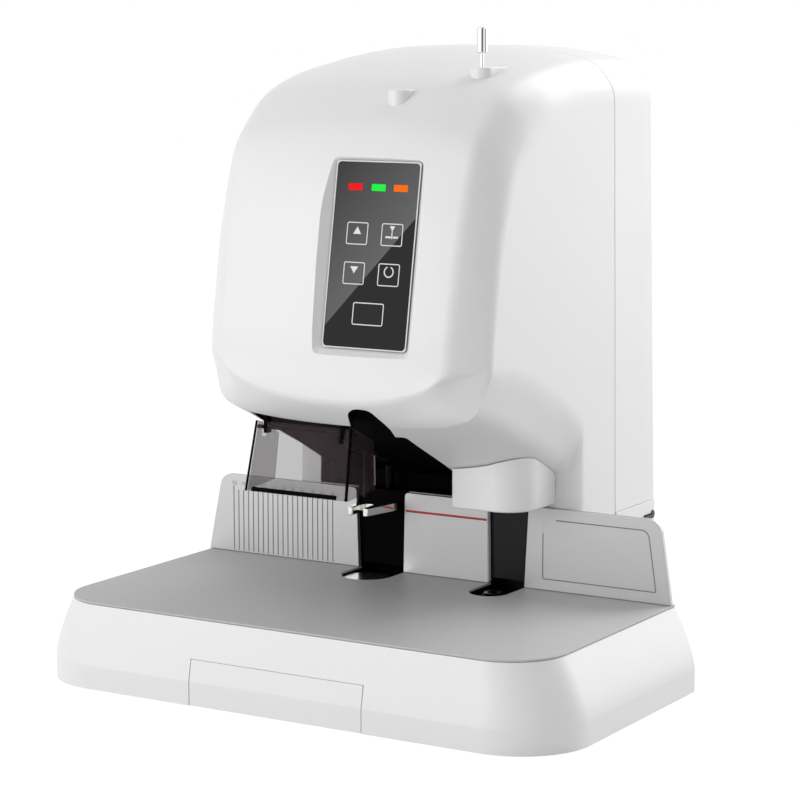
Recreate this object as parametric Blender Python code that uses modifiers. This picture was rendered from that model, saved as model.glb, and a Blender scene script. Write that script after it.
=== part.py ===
"""Desk machine that drills a stack of paper and closes a plastic tube rivet through it.

The head overhangs a paper table. The left station drills, the right station
presses the hot rivet die, and both run on lead screws inside the head.
Metres, +Z up, the front faces -Y, and the origin is on the ground under the
middle of the machine.
"""

import math

import bmesh
import bpy
import numpy as np
from mathutils import Matrix, Vector

# Overall sizes
WIDTH = 0.456
DEPTH = 0.361
HEAD_TOP = 0.4828
WALL = 0.0025
GAP = 0.0003
SEAM_GAP = 0.0007
OVERRUN = 0.006
RUN_CLEARANCE = 0.0004

# Main places, from the front edge and the middle
FRONT_Y = -DEPTH / 2
REAR_Y = DEPTH / 2
STATION_DEPTH_SHARE = 0.558172
STATION_Y = FRONT_Y + DEPTH * STATION_DEPTH_SHARE
DRILL_X = -0.0445
RIVET_X = 0.0698
FENCE_BEHIND_STATION = 0.0204
FENCE_THICKNESS = 0.0041
FENCE_Y = STATION_Y + FENCE_BEHIND_STATION
TOWER_FRONT_Y = FENCE_Y + FENCE_THICKNESS + GAP
SEAM_DEPTH_SHARE = 0.240997
SEAM_Y = STATION_Y + DEPTH * SEAM_DEPTH_SHARE

# Base
FOOT_RADIUS = 0.012
FOOT_HEIGHT = 0.0037
FOOT_SIDE_SHARE = 0.82
FOOT_REAR_SHARE = 0.78
FOOT_INSET = 0.045
FLOOR_THICKNESS = 0.003
SKIRT_LIFT = 0.0006
SKIRT_TOP = 0.0189
TABLE_TOP = 0.0659
TABLE_THICKNESS = 0.0016
BASE_REAR_BEHIND_STATION = 0.0284
BASE_CORNER = 0.057
TABLE_CORNER = 0.045
TABLE_SIDE_INSET = 0.0168
TABLE_FRONT_INSET = 0.0085
BASE_TAPER_POWER = 1.4
BASE_LEVEL_SHARES = (0.0, 0.3, 0.6, 0.82, 1.0)

# Wells cut in the table
DRILL_WELL_RADIUS = 0.021
RIVET_WELL_RADIUS = 0.016
RIVET_WELL_SETBACK = 0.006
WELL_RIM = 0.002
WELL_WALL = 0.002
WELL_DEPTH = 0.0119
CHANNEL_BACK_BEHIND_FENCE = 0.0226
DISC_RADIUS = 0.019
DISC_BELOW_TABLE = 0.0023
LOWER_DIE_RADIUS = 0.009
LOWER_DIE_BELOW_TABLE = 0.0014

# Paper fence
FENCE_TOP = 0.1307
FENCE_SIDE_INSET = 0.017
FENCE_TOP_INSET = 0.010
FENCE_HALF_BOTTOM = WIDTH / 2 - FENCE_SIDE_INSET
FENCE_HALF_TOP = FENCE_HALF_BOTTOM - FENCE_TOP_INSET
FENCE_CORNER = 0.011
FENCE_INNER_CORNER = 0.003
DRILL_NOTCH_BOTTOM = (-0.0655, -0.0236)
DRILL_NOTCH_TOP = (-0.0676, -0.0222)
RIVET_NOTCH_BOTTOM = (0.0537, 0.0857)
RIVET_NOTCH_TOP = (0.0528, 0.0892)

# Drawer under the table
DRAWER_WIDTH = 0.150
DRAWER_TOP = 0.0351
DRAWER_DEPTH = 0.122
DRAWER_FRONT_THICKNESS = 0.004
DRAWER_TRAY_WIDTH = 0.142
DRAWER_TRAY_TOP = 0.031
TRAY_WALL = 0.002
RUNNER_THICKNESS = 0.002
RUNNER_LEDGE = 0.010
RUNNER_HEIGHT = 0.013
RUNNER_LENGTH = 0.105
RUNNER_SETBACK = 0.016

# Head and tower shell; heights in the head are shares of the room above the fence
TOWER_HALF_WIDTH = 0.1304
DRAFT_UP = 0.0143
DRAFT_FORWARD = 0.030
COVER_SPLIT_Z = 0.1185
TOWER_FOOT_Z = 0.002
TOWER_CORNER = 0.011
HEAD_LENGTH = 0.2163
# Each row: centre (forward, up), crease (across, forward, up), side edge (forward, up),
# the rounding lengths along the crown, down the band and round the side edge, and the
# band's bulge. Forward is a share of the head's length from the seam, up of its room
# above the fence, and the rest are shares of the half width.
FACE_ROW_SHARES = (
    (0.000, 1.0000, 0.801, 0.000, 0.9671, 0.000, 0.8930, 0.040, 0.040, 0.046, 0.023),
    (0.148, 0.9973, 0.799, 0.148, 0.9616, 0.157, 0.8876, 0.040, 0.040, 0.046, 0.023),
    (0.310, 0.9835, 0.798, 0.301, 0.9493, 0.324, 0.8711, 0.046, 0.046, 0.046, 0.023),
    (0.472, 0.9589, 0.798, 0.476, 0.9314, 0.453, 0.8547, 0.060, 0.060, 0.046, 0.024),
    (0.624, 0.9260, 0.798, 0.633, 0.8985, 0.555, 0.8204, 0.060, 0.060, 0.046, 0.025),
    (0.740, 0.8780, 0.794, 0.735, 0.8505, 0.633, 0.7820, 0.050, 0.050, 0.046, 0.025),
    (0.823, 0.8245, 0.790, 0.823, 0.7929, 0.707, 0.7285, 0.040, 0.040, 0.040, 0.023),
    (0.904, 0.6970, 0.782, 0.877, 0.6901, 0.767, 0.6503, 0.035, 0.035, 0.040, 0.021),
    (0.941, 0.5832, 0.775, 0.919, 0.5832, 0.809, 0.5694, 0.035, 0.035, 0.040, 0.018),
    (0.966, 0.4831, 0.767, 0.945, 0.4872, 0.839, 0.4693, 0.035, 0.035, 0.040, 0.014),
    (0.985, 0.4008, 0.761, 0.964, 0.4131, 0.859, 0.4008, 0.035, 0.035, 0.036, 0.009),
    (0.994, 0.3281, 0.754, 0.971, 0.3514, 0.866, 0.3638, 0.038, 0.035, 0.036, 0.006),
    (0.999, 0.2842, 0.721, 0.981, 0.3281, 0.868, 0.3514, 0.045, 0.035, 0.034, 0.003),
    (0.996, 0.2637, 0.671, 0.986, 0.3089, 0.869, 0.3459, 0.050, 0.040, 0.032, 0.000),
    (0.971, 0.2458, 0.679, 0.964, 0.2829, 0.869, 0.3418, 0.070, 0.060, 0.030, 0.000),
    (0.929, 0.2253, 0.748, 0.925, 0.2458, 0.865, 0.3391, 0.115, 0.115, 0.032, 0.000),
    (0.895, 0.2102, 0.840, 0.888, 0.2280, 0.854, 0.3350, 0.215, 0.230, 0.036, 0.000),
)
BELLY_ROW_SHARES = (
    (0.895, 0.2102, 0.840, 0.888, 0.2280, 0.854, 0.3350, 0.215, 0.230, 0.036, 0.000),
    (0.763, 0.1636, 0.859, 0.763, 0.1992, 0.707, 0.3158, 0.230, 0.230, 0.070, 0.000),
    (0.610, 0.1142, 0.867, 0.610, 0.1595, 0.569, 0.2856, 0.230, 0.230, 0.076, 0.000),
    (0.448, 0.0594, 0.874, 0.448, 0.1183, 0.430, 0.2431, 0.230, 0.230, 0.076, 0.000),
    (0.347, 0.0237, 0.882, 0.347, 0.0950, 0.324, 0.2088, 0.200, 0.200, 0.060, 0.000),
)
JUNCTION_CENTRE_SHARE = 0.0031
JUNCTION_CREASE_SHARE = 0.0868
JUNCTION_SIDE_SHARE = 0.1821
JUNCTION_DROP_SHARE = 0.0617
TOWER_ROUND_SHARE = 0.030
TOWER_BULGE_SHARE = 0.018
CROWN_POWER = 2.6
FACE_STEPS = (1, 1, 1, 2, 2, 2, 2, 2, 1, 1, 1, 1, 1, 1, 1, 1)
BELLY_STEPS = (1, 1, 1, 1)
CROWN_SHARES = (0.0, 0.4, 0.75, 1.0)

# Openings in the head
MOUTH_FRONT = 0.1035
MOUTH_RIGHT_FRONT = 0.0895
MOUTH_LEFT_FRONT = -0.086
MOUTH_LEFT_REAR = -0.105
MOUTH_RIGHT_NEAR = 0.0447
MOUTH_RIGHT = 0.0486
MOUTH_ROUND = 0.0035
MOUTH_UP_SHARE = 0.2877
# The sight arch in the opening's front edge: across, and forward of the stations
ARCH_LEFT = 0.0051
ARCH_SHOULDER = (0.0158, 0.1268)
ARCH_SHOULDER_ROUND = 0.0147
ARCH_CROWN = (0.0344, 0.1238)
ARCH_CROWN_ROUND = 0.0071
ARCH_HIP = (0.0405, 0.1073)
ARCH_HIP_ROUND = 0.0223
ARCH_RIGHT = 0.0357

# Control panel
PANEL_X = 0.028
PANEL_FORWARD = 0.1105
PANEL_UP_SHARE = 0.57171
PANEL_TILT = 9.6
PANEL_WIDTH = 0.0712
PANEL_HEIGHT = 0.137
PANEL_THICKNESS = 0.002
PANEL_CORNER = 0.003
RECESS_FLARE_SIDE = 0.0085
RECESS_FLARE_END = 0.0100
RECESS_FLARE_REACH = 0.010
RECESS_CORNER = 0.006
POD_MARGIN = 0.0115
POD_BACK = 0.006
POD_LEDGE = 0.003
POD_SKIN = 0.0012
KEY_SIZE = (0.0188, 0.0172)
START_KEY_SIZE = (0.027, 0.0172)
KEY_LEFT_U = -0.0139
KEY_RIGHT_U = 0.0159
KEY_MIDDLE_U = 0.0011
KEY_UPPER_V = 0.0156
KEY_LOWER_V = -0.0137
KEY_START_V = -0.0431
KEY_THICKNESS = 0.0016
LED_SIZE = (0.012, 0.005)
LED_U = (-0.0188, 0.0011, 0.020)
LED_V = 0.0497
LED_THICKNESS = 0.0018
BOARD_THICKNESS = 0.0016

# Tool holders on top of the head
HOLDER_RADIUS = 0.0086
HOLDER_TAIL = 0.030
HOLDER_DEPTH = 0.024
SPARE_HOLDER_X = 0.0246
SPARE_HOLDER_FORWARD = 0.0648
SPARE_HOLDER_UP_SHARE = 0.90968
NEEDLE_HOLDER_X = 0.0719
NEEDLE_HOLDER_FORWARD = 0.0250
NEEDLE_HOLDER_UP_SHARE = 0.95569
HOLDER_BORE = 0.0025
HOLDER_BORE_DEPTH = 0.020
NEEDLE_RADIUS = 0.00125
NEEDLE_KNOB_RADIUS = 0.0041
NEEDLE_KNOB_LIFT = 0.0105
NEEDLE_KNOB_LENGTH = 0.0193
NEEDLE_EDGE = 0.0008

# Black inner roof under the head
ROOF_TIP = 0.1285
ROOF_TIP_UP_SHARE = 0.2837
ROOF_FRONT = 0.101
ROOF_FRONT_UP_SHARE = 0.21954
ROOF_REAR_UP_SHARE = 0.0334
ROOF_REAR_BEHIND = 0.044
ROOF_THICKNESS = 0.0025
ROOF_DRILL_HOLE = 0.017
ROOF_ROD_HOLE = 0.0055
ROOF_BLANK_LEFT = -0.1155
ROOF_BLANK_RIGHT = 0.0729

# White cover of the rivet press
PRESS_COVER_LEFT = 0.0490
PRESS_COVER_RIGHT = 0.110
PRESS_COVER_FORWARD = 0.030
PRESS_COVER_BOTTOM = 0.1335
PRESS_COVER_ROUND = 0.025
PRESS_COVER_EDGE = 0.0015
PRESS_COVER_UP_SHARE = 0.21102
PRESS_HOLE = 0.012
SHELL_PORT_LEFT = 0.0525
SHELL_PORT_RIGHT = 0.098
SHELL_PORT_FORWARD = 0.020

# Smoked guard in front of the drill
GUARD_HALF_TOP = 0.044
GUARD_HALF_BOTTOM = 0.0467
GUARD_FRONT_TOP = 0.092
GUARD_FRONT_BOTTOM = 0.104
GUARD_TOP_UP_SHARE = 0.19256
GUARD_BOTTOM_UP_SHARE = 0.04203
GUARD_REAR_TOP = 0.062
GUARD_REAR_TOP_UP_SHARE = 0.15564
GUARD_REAR_BOTTOM = 0.064
GUARD_REAR_BOTTOM_UP_SHARE = 0.05197
GUARD_WALL = 0.002
GUARD_PIVOT_FORWARD = 0.0885
GUARD_PIVOT_UP_SHARE = 0.17836
PIN_RADIUS = 0.0015
PIN_BORE = 0.0019
EAR_INSET = 0.009
EAR_THICKNESS = 0.003
EAR_HALF_WIDTH = 0.003
EAR_NOTCH_SIDE = 0.001
EAR_NOTCH_DROP = 0.0065
EAR_DROP = 0.0042

# Steel frame inside
COLUMN_X = 0.098
COLUMN_THICKNESS = 0.004
COLUMN_FRONT_BEHIND = 0.048
COLUMN_WIDTH = 0.036
BRACKET_Z = 0.140
BRACKET_THICKNESS = 0.008
BRACKET_FRONT_BEHIND = 0.050
BRACKET_WIDTH = 0.030
BRIDGE_UP_SHARE = 0.80744
ROD_BEHIND = 0.065
ROD_RADIUS = 0.005
SCREW_RADIUS = 0.0045
MOTOR_SIDE = 0.042
MOTOR_HEIGHT = 0.034
MOTOR_CHAMFER = 0.004

# Drill carriage
DRILL_ROD_SPREAD = 0.024
CARRIAGE_BOTTOM = 0.256
CARRIAGE_HEIGHT = 0.040
CARRIAGE_BACK_HALF = 0.036
CARRIAGE_BACK_DEPTH = 0.026
CARRIAGE_ARM_HALF = 0.020
CARRIAGE_ARM_FORWARD = 0.018
WING_THICKNESS = 0.010
WING_HALF_DEPTH = 0.017
DRILL_MOTOR_OFFSET = 0.0405
DRILL_MOTOR_RADIUS = 0.017
DRILL_MOTOR_HEIGHT = 0.0635
WING_MARGIN = 0.002
SPINDLE_RADIUS = 0.007
SPINDLE_NOSE_RADIUS = 0.011
SPINDLE_NOSE_BOTTOM = 0.205
SPINDLE_NOSE_HEIGHT = 0.022
SPINDLE_BORE = 0.0022
PULLEY_HEIGHT = 0.010
PULLEY_FLANGE = 0.0012
SPINDLE_PULLEY_RADIUS = 0.012
MOTOR_PULLEY_RADIUS = 0.008
PULLEY_LIFT = 0.0017
BELT_THICKNESS = 0.0015
BIT_RADIUS = 0.003
BIT_BORE = 0.0022
BIT_TIP_Z = 0.128
BIT_EDGE = 0.0004

# Paper press foot
FOOT_BOTTOM = 0.1157
FORK_THICKNESS = 0.0065
FORK_SLOT_HALF = 0.0048
FORK_PRONG = 0.0041
FORK_FORWARD = 0.0155
FORK_SHOULDER_BEHIND = 0.0190
FORK_REAR_HALF = 0.0160
FORK_REAR_BEHIND = 0.038
FORK_WAIST_BEHIND = 0.004
FORK_ROUND = 0.0019
FORK_SLOT_ROUND_SHARE = 0.9
FOOT_ROD_RADIUS = 0.0035
FOOT_ROD_BEHIND = 0.0335
FOOT_ROD_TOP = 0.312

# Rivet press
PRESS_ROD_SPREAD = 0.018
PRESS_BOTTOM = 0.256
PRESS_HEIGHT = 0.030
PRESS_BACK_HALF = 0.026
PRESS_ARM_HALF = 0.0138
PRESS_ARM_FORWARD = 0.012
PRESS_ROD_RADIUS = 0.006
UPPER_DIE_RADIUS = 0.009
UPPER_DIE_TIP_Z = 0.1375
UPPER_DIE_HEIGHT = 0.013
UPPER_DIE_TIP_RADIUS = 0.0035

# Electrics
TRANSFORMER_SIZE = (0.090, 0.058, 0.062)
TRANSFORMER_INSET = 0.0415
TRANSFORMER_EDGE = 0.004
REAR_LEAN = 0.0070
REAR_EDGE = 0.003
REAR_TOP_DROP = 0.0010
INLET_X = 0.060
INLET_Z = 0.048
INLET_SIZE = (0.0275, 0.0195)
INLET_DEPTH = 0.017
INLET_RECESS = (0.0235, 0.0155)
INLET_RECESS_DEPTH = 0.0135
SWITCH_INSET = 0.0158
SWITCH_Z = 0.0975
SWITCH_SIZE = (0.0126, 0.0196)
SWITCH_SLOT_HEIGHT = 0.0212
SWITCH_DEPTH = 0.0055
SWITCH_PROUD = 0.0016
FUSE_INSET = 0.006
FUSE_Z = 0.107
FUSE_RADIUS = 0.0032
FUSE_LENGTH = 0.009
FUSE_PROUD = 0.0025

# Face counts
ROUND_STEPS = 20
SMALL_STEPS = 12
CORNER_STEPS = 5
ANGLE_SMOOTH = 35.0

PARTS_COLLECTION = "riveting_machine"
CUTTERS_COLLECTION = "cutters"

WHITE_PLASTIC = ((0.86, 0.86, 0.86), 0.42, 0.0)
BLACK_PLASTIC = ((0.012, 0.012, 0.013), 0.25, 0.0)
TABLE_GREY = ((0.30, 0.30, 0.30), 0.55, 0.3)
SILVER_SHEET = ((0.62, 0.62, 0.62), 0.40, 0.6)
BRIGHT_STEEL = ((0.75, 0.74, 0.72), 0.18, 1.0)
DARK_STEEL = ((0.22, 0.22, 0.23), 0.45, 0.9)
ZINC_STEEL = ((0.55, 0.56, 0.57), 0.40, 0.9)
CAST_ALUMINIUM = ((0.50, 0.51, 0.52), 0.50, 0.9)
RUBBER = ((0.02, 0.02, 0.02), 0.85, 0.0)
SMOKED_CLEAR = ((0.20, 0.16, 0.16), 0.10, 0.0)
PANEL_GLOSS = ((0.035, 0.035, 0.037), 0.12, 0.0)
KEY_FILM = ((0.045, 0.045, 0.047), 0.20, 0.0)
BOARD_GREEN = ((0.02, 0.16, 0.07), 0.50, 0.0)
COPPER_TAPE = ((0.55, 0.32, 0.10), 0.45, 0.6)
LED_COLOURS = {
    "power_light": (0.85, 0.01, 0.01),
    "heat_light": (0.01, 0.85, 0.05),
    "fault_light": (0.90, 0.22, 0.01),
}


def clear_scene():
    """Remove every object, mesh and curve that the file opened with."""
    for obj in list(bpy.data.objects):
        bpy.data.objects.remove(obj, do_unlink=True)


def collection(name):
    """Return the named collection, made and linked when it is missing."""
    found = bpy.data.collections.get(name)
    if found is None:
        found = bpy.data.collections.new(name)
        bpy.context.scene.collection.children.link(found)
    return found


def finish(name, look):
    """Make a Principled material from a colour, a roughness and a metallic value."""
    colour, roughness, metallic = look
    material = bpy.data.materials.new(name)
    material.use_nodes = True
    shader = material.node_tree.nodes["Principled BSDF"]
    shader.inputs["Base Color"].default_value = (*colour, 1.0)
    shader.inputs["Roughness"].default_value = roughness
    shader.inputs["Metallic"].default_value = metallic
    return material


def add_object(name, mesh, look, smooth=False):
    """Link a mesh as a part with its own material, or as a cutter when look is None."""
    obj = bpy.data.objects.new(name, mesh)
    if look is None:
        collection(CUTTERS_COLLECTION).objects.link(obj)
        obj.hide_render = True
        obj.display_type = "WIRE"
        return obj
    collection(PARTS_COLLECTION).objects.link(obj)
    mesh.materials.clear()
    mesh.materials.append(finish(name + "_finish", look))
    if smooth:
        mesh.shade_smooth()
        mesh.set_sharp_from_angle(angle=math.radians(ANGLE_SMOOTH))
    return obj


def box(name, low, high, look=None, bevel=0.0):
    """Make a box between two corners, with its origin in its middle."""
    low, high = Vector(low), Vector(high)
    bm = bmesh.new()
    bmesh.ops.create_cube(bm, size=1.0)
    bmesh.ops.scale(bm, vec=high - low, verts=bm.verts)
    mesh = bpy.data.meshes.new(name)
    bm.to_mesh(mesh)
    bm.free()
    obj = add_object(name, mesh, look)
    obj.location = (low + high) / 2
    if bevel > 0:
        round_edges(obj, bevel)
    return obj


def round_edges(obj, width, segments=1):
    """Bevel every edge that turns by more than the smoothing angle."""
    modifier = obj.modifiers.new("edge", "BEVEL")
    modifier.width = width
    modifier.segments = segments
    modifier.limit_method = "ANGLE"
    modifier.angle_limit = math.radians(ANGLE_SMOOTH)
    return modifier


def cylinder(name, radius, low_z, high_z, centre, look=None, steps=ROUND_STEPS):
    """Make an upright cylinder whose axis passes through centre (x, y)."""
    bm = bmesh.new()
    bmesh.ops.create_cone(bm, cap_ends=True, segments=steps, radius1=radius,
                          radius2=radius, depth=high_z - low_z)
    mesh = bpy.data.meshes.new(name)
    bm.to_mesh(mesh)
    bm.free()
    obj = add_object(name, mesh, look, smooth=look is not None)
    obj.location = (centre[0], centre[1], (low_z + high_z) / 2)
    return obj


def lying_cylinder(name, radius, length, centre, look=None, steps=SMALL_STEPS):
    """Make a cylinder along X about centre (x, y, z)."""
    obj = cylinder(name, radius, -length / 2, length / 2, (0, 0), look, steps)
    obj.location = centre
    obj.rotation_euler = (0, math.radians(90), 0)
    return obj


def turned(name, profile, centre, look, steps=ROUND_STEPS):
    """Turn a (radius, z) profile, listed down its outer side, about an upright axis."""
    mesh = bpy.data.meshes.new(name)
    points = [(radius, 0, z) for radius, z in profile]
    closed = profile[0][0] > 0
    edges = [(i, i + 1) for i in range(len(points) - 1)]
    if closed:
        edges.append((len(points) - 1, 0))
    mesh.from_pydata(points, edges, [])
    obj = add_object(name, mesh, look)
    obj.location = (centre[0], centre[1], 0)
    screw = obj.modifiers.new("turn", "SCREW")
    screw.steps = steps
    screw.render_steps = steps
    screw.use_merge_vertices = True
    screw.merge_threshold = GAP / 30
    screw.use_smooth_shade = True
    return obj


def rounded_outline(corners, steps=CORNER_STEPS):
    """Return an outline's points, with an arc in place of each (x, y, radius) corner."""
    points = []
    count = len(corners)
    for index, (x, y, radius) in enumerate(corners):
        here = Vector((x, y))
        if radius <= 0:
            points.append(here)
            continue
        before = (Vector(corners[index - 1][:2]) - here).normalized()
        after = (Vector(corners[(index + 1) % count][:2]) - here).normalized()
        half = before.angle(after) / 2
        centre = here + (before + after).normalized() * (radius / math.sin(half))
        start = here + before * (radius / math.tan(half)) - centre
        end = here + after * (radius / math.tan(half)) - centre
        turn = start.angle_signed(end)
        for step in range(steps + 1):
            angle = -turn * step / steps
            points.append(centre + Matrix.Rotation(angle, 2) @ start)
    return points


def curve_to_mesh(obj, look):
    """Replace a curve object by its mesh, with the caps welded on."""
    depsgraph = bpy.context.evaluated_depsgraph_get()
    mesh = bpy.data.meshes.new_from_object(obj.evaluated_get(depsgraph))
    bm = bmesh.new()
    bm.from_mesh(mesh)
    bmesh.ops.remove_doubles(bm, verts=bm.verts, dist=GAP / 30)
    bm.to_mesh(mesh)
    bm.free()
    name = obj.name
    place = obj.matrix_world.copy()
    bpy.data.objects.remove(obj, do_unlink=True)
    solid = add_object(name, mesh, look)
    solid.matrix_world = place
    return solid


PLANES = {
    "XY": Matrix.Identity(3),
    "XZ": Matrix(((1, 0, 0), (0, 0, -1), (0, 1, 0))),
    "YZ": Matrix(((0, 0, 1), (1, 0, 0), (0, 1, 0))),
}


def plate(name, outlines, low, high, look=None, plane="XY"):
    """Extrude flat outlines from low to high along the third axis of their plane."""
    if not isinstance(outlines[0], list):
        outlines = [outlines]
    curve = bpy.data.curves.new(name, "CURVE")
    curve.dimensions = "2D"
    curve.fill_mode = "BOTH"
    curve.extrude = (high - low) / 2
    for outline in outlines:
        spline = curve.splines.new("POLY")
        spline.points.add(len(outline) - 1)
        for point, (x, y) in zip(spline.points, outline):
            point.co = (x, y, 0, 1)
        spline.use_cyclic_u = True
    obj = bpy.data.objects.new(name, curve)
    collection(CUTTERS_COLLECTION).objects.link(obj)
    turn = PLANES[plane].to_4x4()
    middle = (low + high) / 2
    sign = -1 if plane == "XZ" else 1
    obj.matrix_world = turn @ Matrix.Translation((0, 0, sign * middle))
    bpy.context.view_layer.update()
    return curve_to_mesh(obj, look)


def join_solid(target, tool, operation="UNION"):
    """Join, cut or keep the overlap of a solid with a tool solid."""
    modifier = target.modifiers.new(tool.name, "BOOLEAN")
    modifier.operation = operation
    modifier.solver = "EXACT"
    modifier.object = tool
    return target


def cut(target, *tools):
    """Cut each tool solid out of the target."""
    for tool in tools:
        join_solid(target, tool, "DIFFERENCE")
    return target


def surface(name, rows, look, caps=(), closed_rows=False, flip=False):
    """Skin a grid of points, with extra faces given as lists of (row, column) pairs.

    An extra point that isn't on the grid is given as a Vector.
    """
    rows = [list(row) for row in rows]
    width = len(rows[0])
    points = [Vector(point) for row in rows for point in row]
    faces = []
    span = width if closed_rows else width - 1
    for r in range(len(rows) - 1):
        for c in range(span):
            d = (c + 1) % width
            faces.append((r * width + c, r * width + d, (r + 1) * width + d, (r + 1) * width + c))
    for cap in caps:
        face = []
        for item in cap:
            if isinstance(item, Vector):
                points.append(item)
                face.append(len(points) - 1)
            else:
                face.append(item[0] * width + item[1])
        faces.append(tuple(face))
    mesh = bpy.data.meshes.new(name)
    mesh.from_pydata(points, [], faces)
    bm = bmesh.new()
    bm.from_mesh(mesh)
    bmesh.ops.remove_doubles(bm, verts=bm.verts, dist=GAP / 3)
    bmesh.ops.recalc_face_normals(bm, faces=bm.faces)
    if flip:
        bmesh.ops.reverse_faces(bm, faces=bm.faces)
    bm.to_mesh(mesh)
    bm.free()
    return add_object(name, mesh, look, smooth=look is not None)


def thicken(obj, thickness):
    """Give an open surface a wall on its inner side."""
    modifier = obj.modifiers.new("wall", "SOLIDIFY")
    modifier.thickness = thickness
    modifier.offset = -1.0
    modifier.use_even_offset = True
    modifier.use_quality_normals = True
    return obj


def axis_empty(name, place):
    """Make an empty on a joint's axis."""
    empty = bpy.data.objects.new(name, None)
    collection(PARTS_COLLECTION).objects.link(empty)
    empty.location = place
    return empty


def hang_on(empty, *pieces):
    """Parent pieces to an empty without moving them."""
    bpy.context.view_layer.update()
    for piece in pieces:
        piece.parent = empty
        piece.matrix_parent_inverse = empty.matrix_world.inverted()


def head_z(share):
    """Return the height at a share of the way from the fence's top to the head's top."""
    return FENCE_TOP + (HEAD_TOP - FENCE_TOP) * share


def side_x(y, z):
    """Half width of the head and tower at a place: the sides draw in forward and upward."""
    return TOWER_HALF_WIDTH - DRAFT_UP * (z - COVER_SPLIT_Z) - DRAFT_FORWARD * max(0, SEAM_Y - y)


def smooth_rows(table, steps):
    """Pass a Catmull-Rom curve through a table's rows, with a step count for each stretch."""
    rows = np.array(table, dtype=float)
    padded = np.vstack([2 * rows[0] - rows[1], rows, 2 * rows[-1] - rows[-2]])
    out = []
    for index, count in enumerate(steps):
        a, b, c, d = padded[index:index + 4]
        for step in range(count):
            t = step / count
            out.append(0.5 * (2 * b + (c - a) * t + (2 * a - 5 * b + 4 * c - d) * t * t
                              + (3 * b - a - 3 * c + d) * t ** 3))
    out.append(rows[-1])
    return out


def head_row(shares):
    """Turn a row of shares into its centre, crease and side points and rounding lengths."""
    cy, cz, px, py, pz, qy, qz, *lengths = shares
    centre = Vector((0, SEAM_Y - cy * HEAD_LENGTH, head_z(cz)))
    crease = Vector((px * TOWER_HALF_WIDTH, SEAM_Y - py * HEAD_LENGTH, head_z(pz)))
    y, z = SEAM_Y - qy * HEAD_LENGTH, head_z(qz)
    edge = Vector((side_x(y, z), y, z))
    return centre, crease, edge, [part * TOWER_HALF_WIDTH for part in lengths]


def tower_row(centre_z, crease_z, side_z):
    """Make a row of the tower's flat front, round its corner and onto its side."""
    side_y = TOWER_FRONT_Y + TOWER_CORNER
    edge = Vector((side_x(side_y, side_z), side_y, side_z))
    crease = Vector((edge.x - TOWER_CORNER, TOWER_FRONT_Y, crease_z))
    rounding = TOWER_ROUND_SHARE * TOWER_HALF_WIDTH
    lengths = [rounding, rounding, rounding, TOWER_BULGE_SHARE * TOWER_HALF_WIDTH]
    return Vector((0, TOWER_FRONT_Y, centre_z)), crease, edge, lengths


def section_points(row, run):
    """Return half a cross-section, from the middle out to the side wall.

    run is the direction (y, z) in which the rows follow each other at this one.
    """
    centre, crease, edge, (crown, band, side, bulge) = row
    reach = crease.x - crown
    points = []
    for share in CROWN_SHARES:
        across = reach * share
        point = centre.lerp(crease, (across / crease.x) ** CROWN_POWER)
        point.x = across
        points.append(point)
    slope = (edge - crease).normalized()
    span = (edge - crease).length
    outward = Vector((0, run.x, run.y)).cross(slope).normalized()

    def on_band(distance):
        t = distance / span
        return crease + slope * distance + outward * bulge * 4 * t * (1 - t)

    down = min(band, span / 3)
    end = on_band(down)
    points.append(points[-1] / 4 + crease / 2 + end / 4)
    points.append(end)
    points.append(on_band(span / 2))
    points.append(on_band(span - min(side, span / 3)))
    inner = Vector((0, edge.y - run.y * side, edge.z + run.x * side))
    inner.x = side_x(inner.y, inner.z)
    points.append(inner)
    return points


def head_rows():
    """Return every cross-section of the head and tower, from the top seam to the foot."""
    face = [head_row(r) for r in smooth_rows(FACE_ROW_SHARES, FACE_STEPS)]
    belly = [head_row(r) for r in smooth_rows(BELLY_ROW_SHARES, BELLY_STEPS)]
    top = head_z(JUNCTION_CENTRE_SHARE)
    crease = head_z(JUNCTION_CREASE_SHARE)
    side = head_z(JUNCTION_SIDE_SHARE)
    drop = JUNCTION_DROP_SHARE * (HEAD_TOP - FENCE_TOP)
    tower = [tower_row(top, crease, side), tower_row(top - drop / 4, crease - drop, side - drop),
             tower_row(TOWER_FOOT_Z, TOWER_FOOT_Z, TOWER_FOOT_Z)]
    return face + belly[1:] + tower


def head_grid():
    """Return the head's grid of points, each row from the left side wall to the right."""
    rows = head_rows()
    edges = [Vector((row[2].y, row[2].z)) for row in rows]
    grid = []
    for index, row in enumerate(rows):
        before = edges[max(index - 1, 0)]
        after = edges[min(index + 1, len(edges) - 1)]
        run = (after - before).normalized() if index else Vector((-1, 0))
        half = section_points(row, run)
        mirrored = [Vector((-p.x, p.y, p.z)) for p in reversed(half[1:])]
        grid.append(mirrored + half)
    return grid


def head_surface(name, look, closed):
    """Skin the head and tower, open at the seam and foot, or closed as a solid block."""
    grid = head_grid()
    last = len(grid) - 1
    width = len(grid[0])
    foot_x = side_x(SEAM_Y, TOWER_FOOT_Z)
    right_foot = Vector((foot_x, SEAM_Y, TOWER_FOOT_Z))
    left_foot = Vector((-foot_x, SEAM_Y, TOWER_FOOT_Z))
    right = [(r, width - 1) for r in range(last + 1)] + [right_foot]
    left = [(r, 0) for r in range(last + 1)] + [left_foot]
    caps = [right, left]
    if closed:
        caps.append([(0, c) for c in range(width)] + [right_foot, left_foot])
        caps.append([(last, c) for c in range(width)] + [right_foot, left_foot])
    return surface(name, grid, look, caps)


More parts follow.
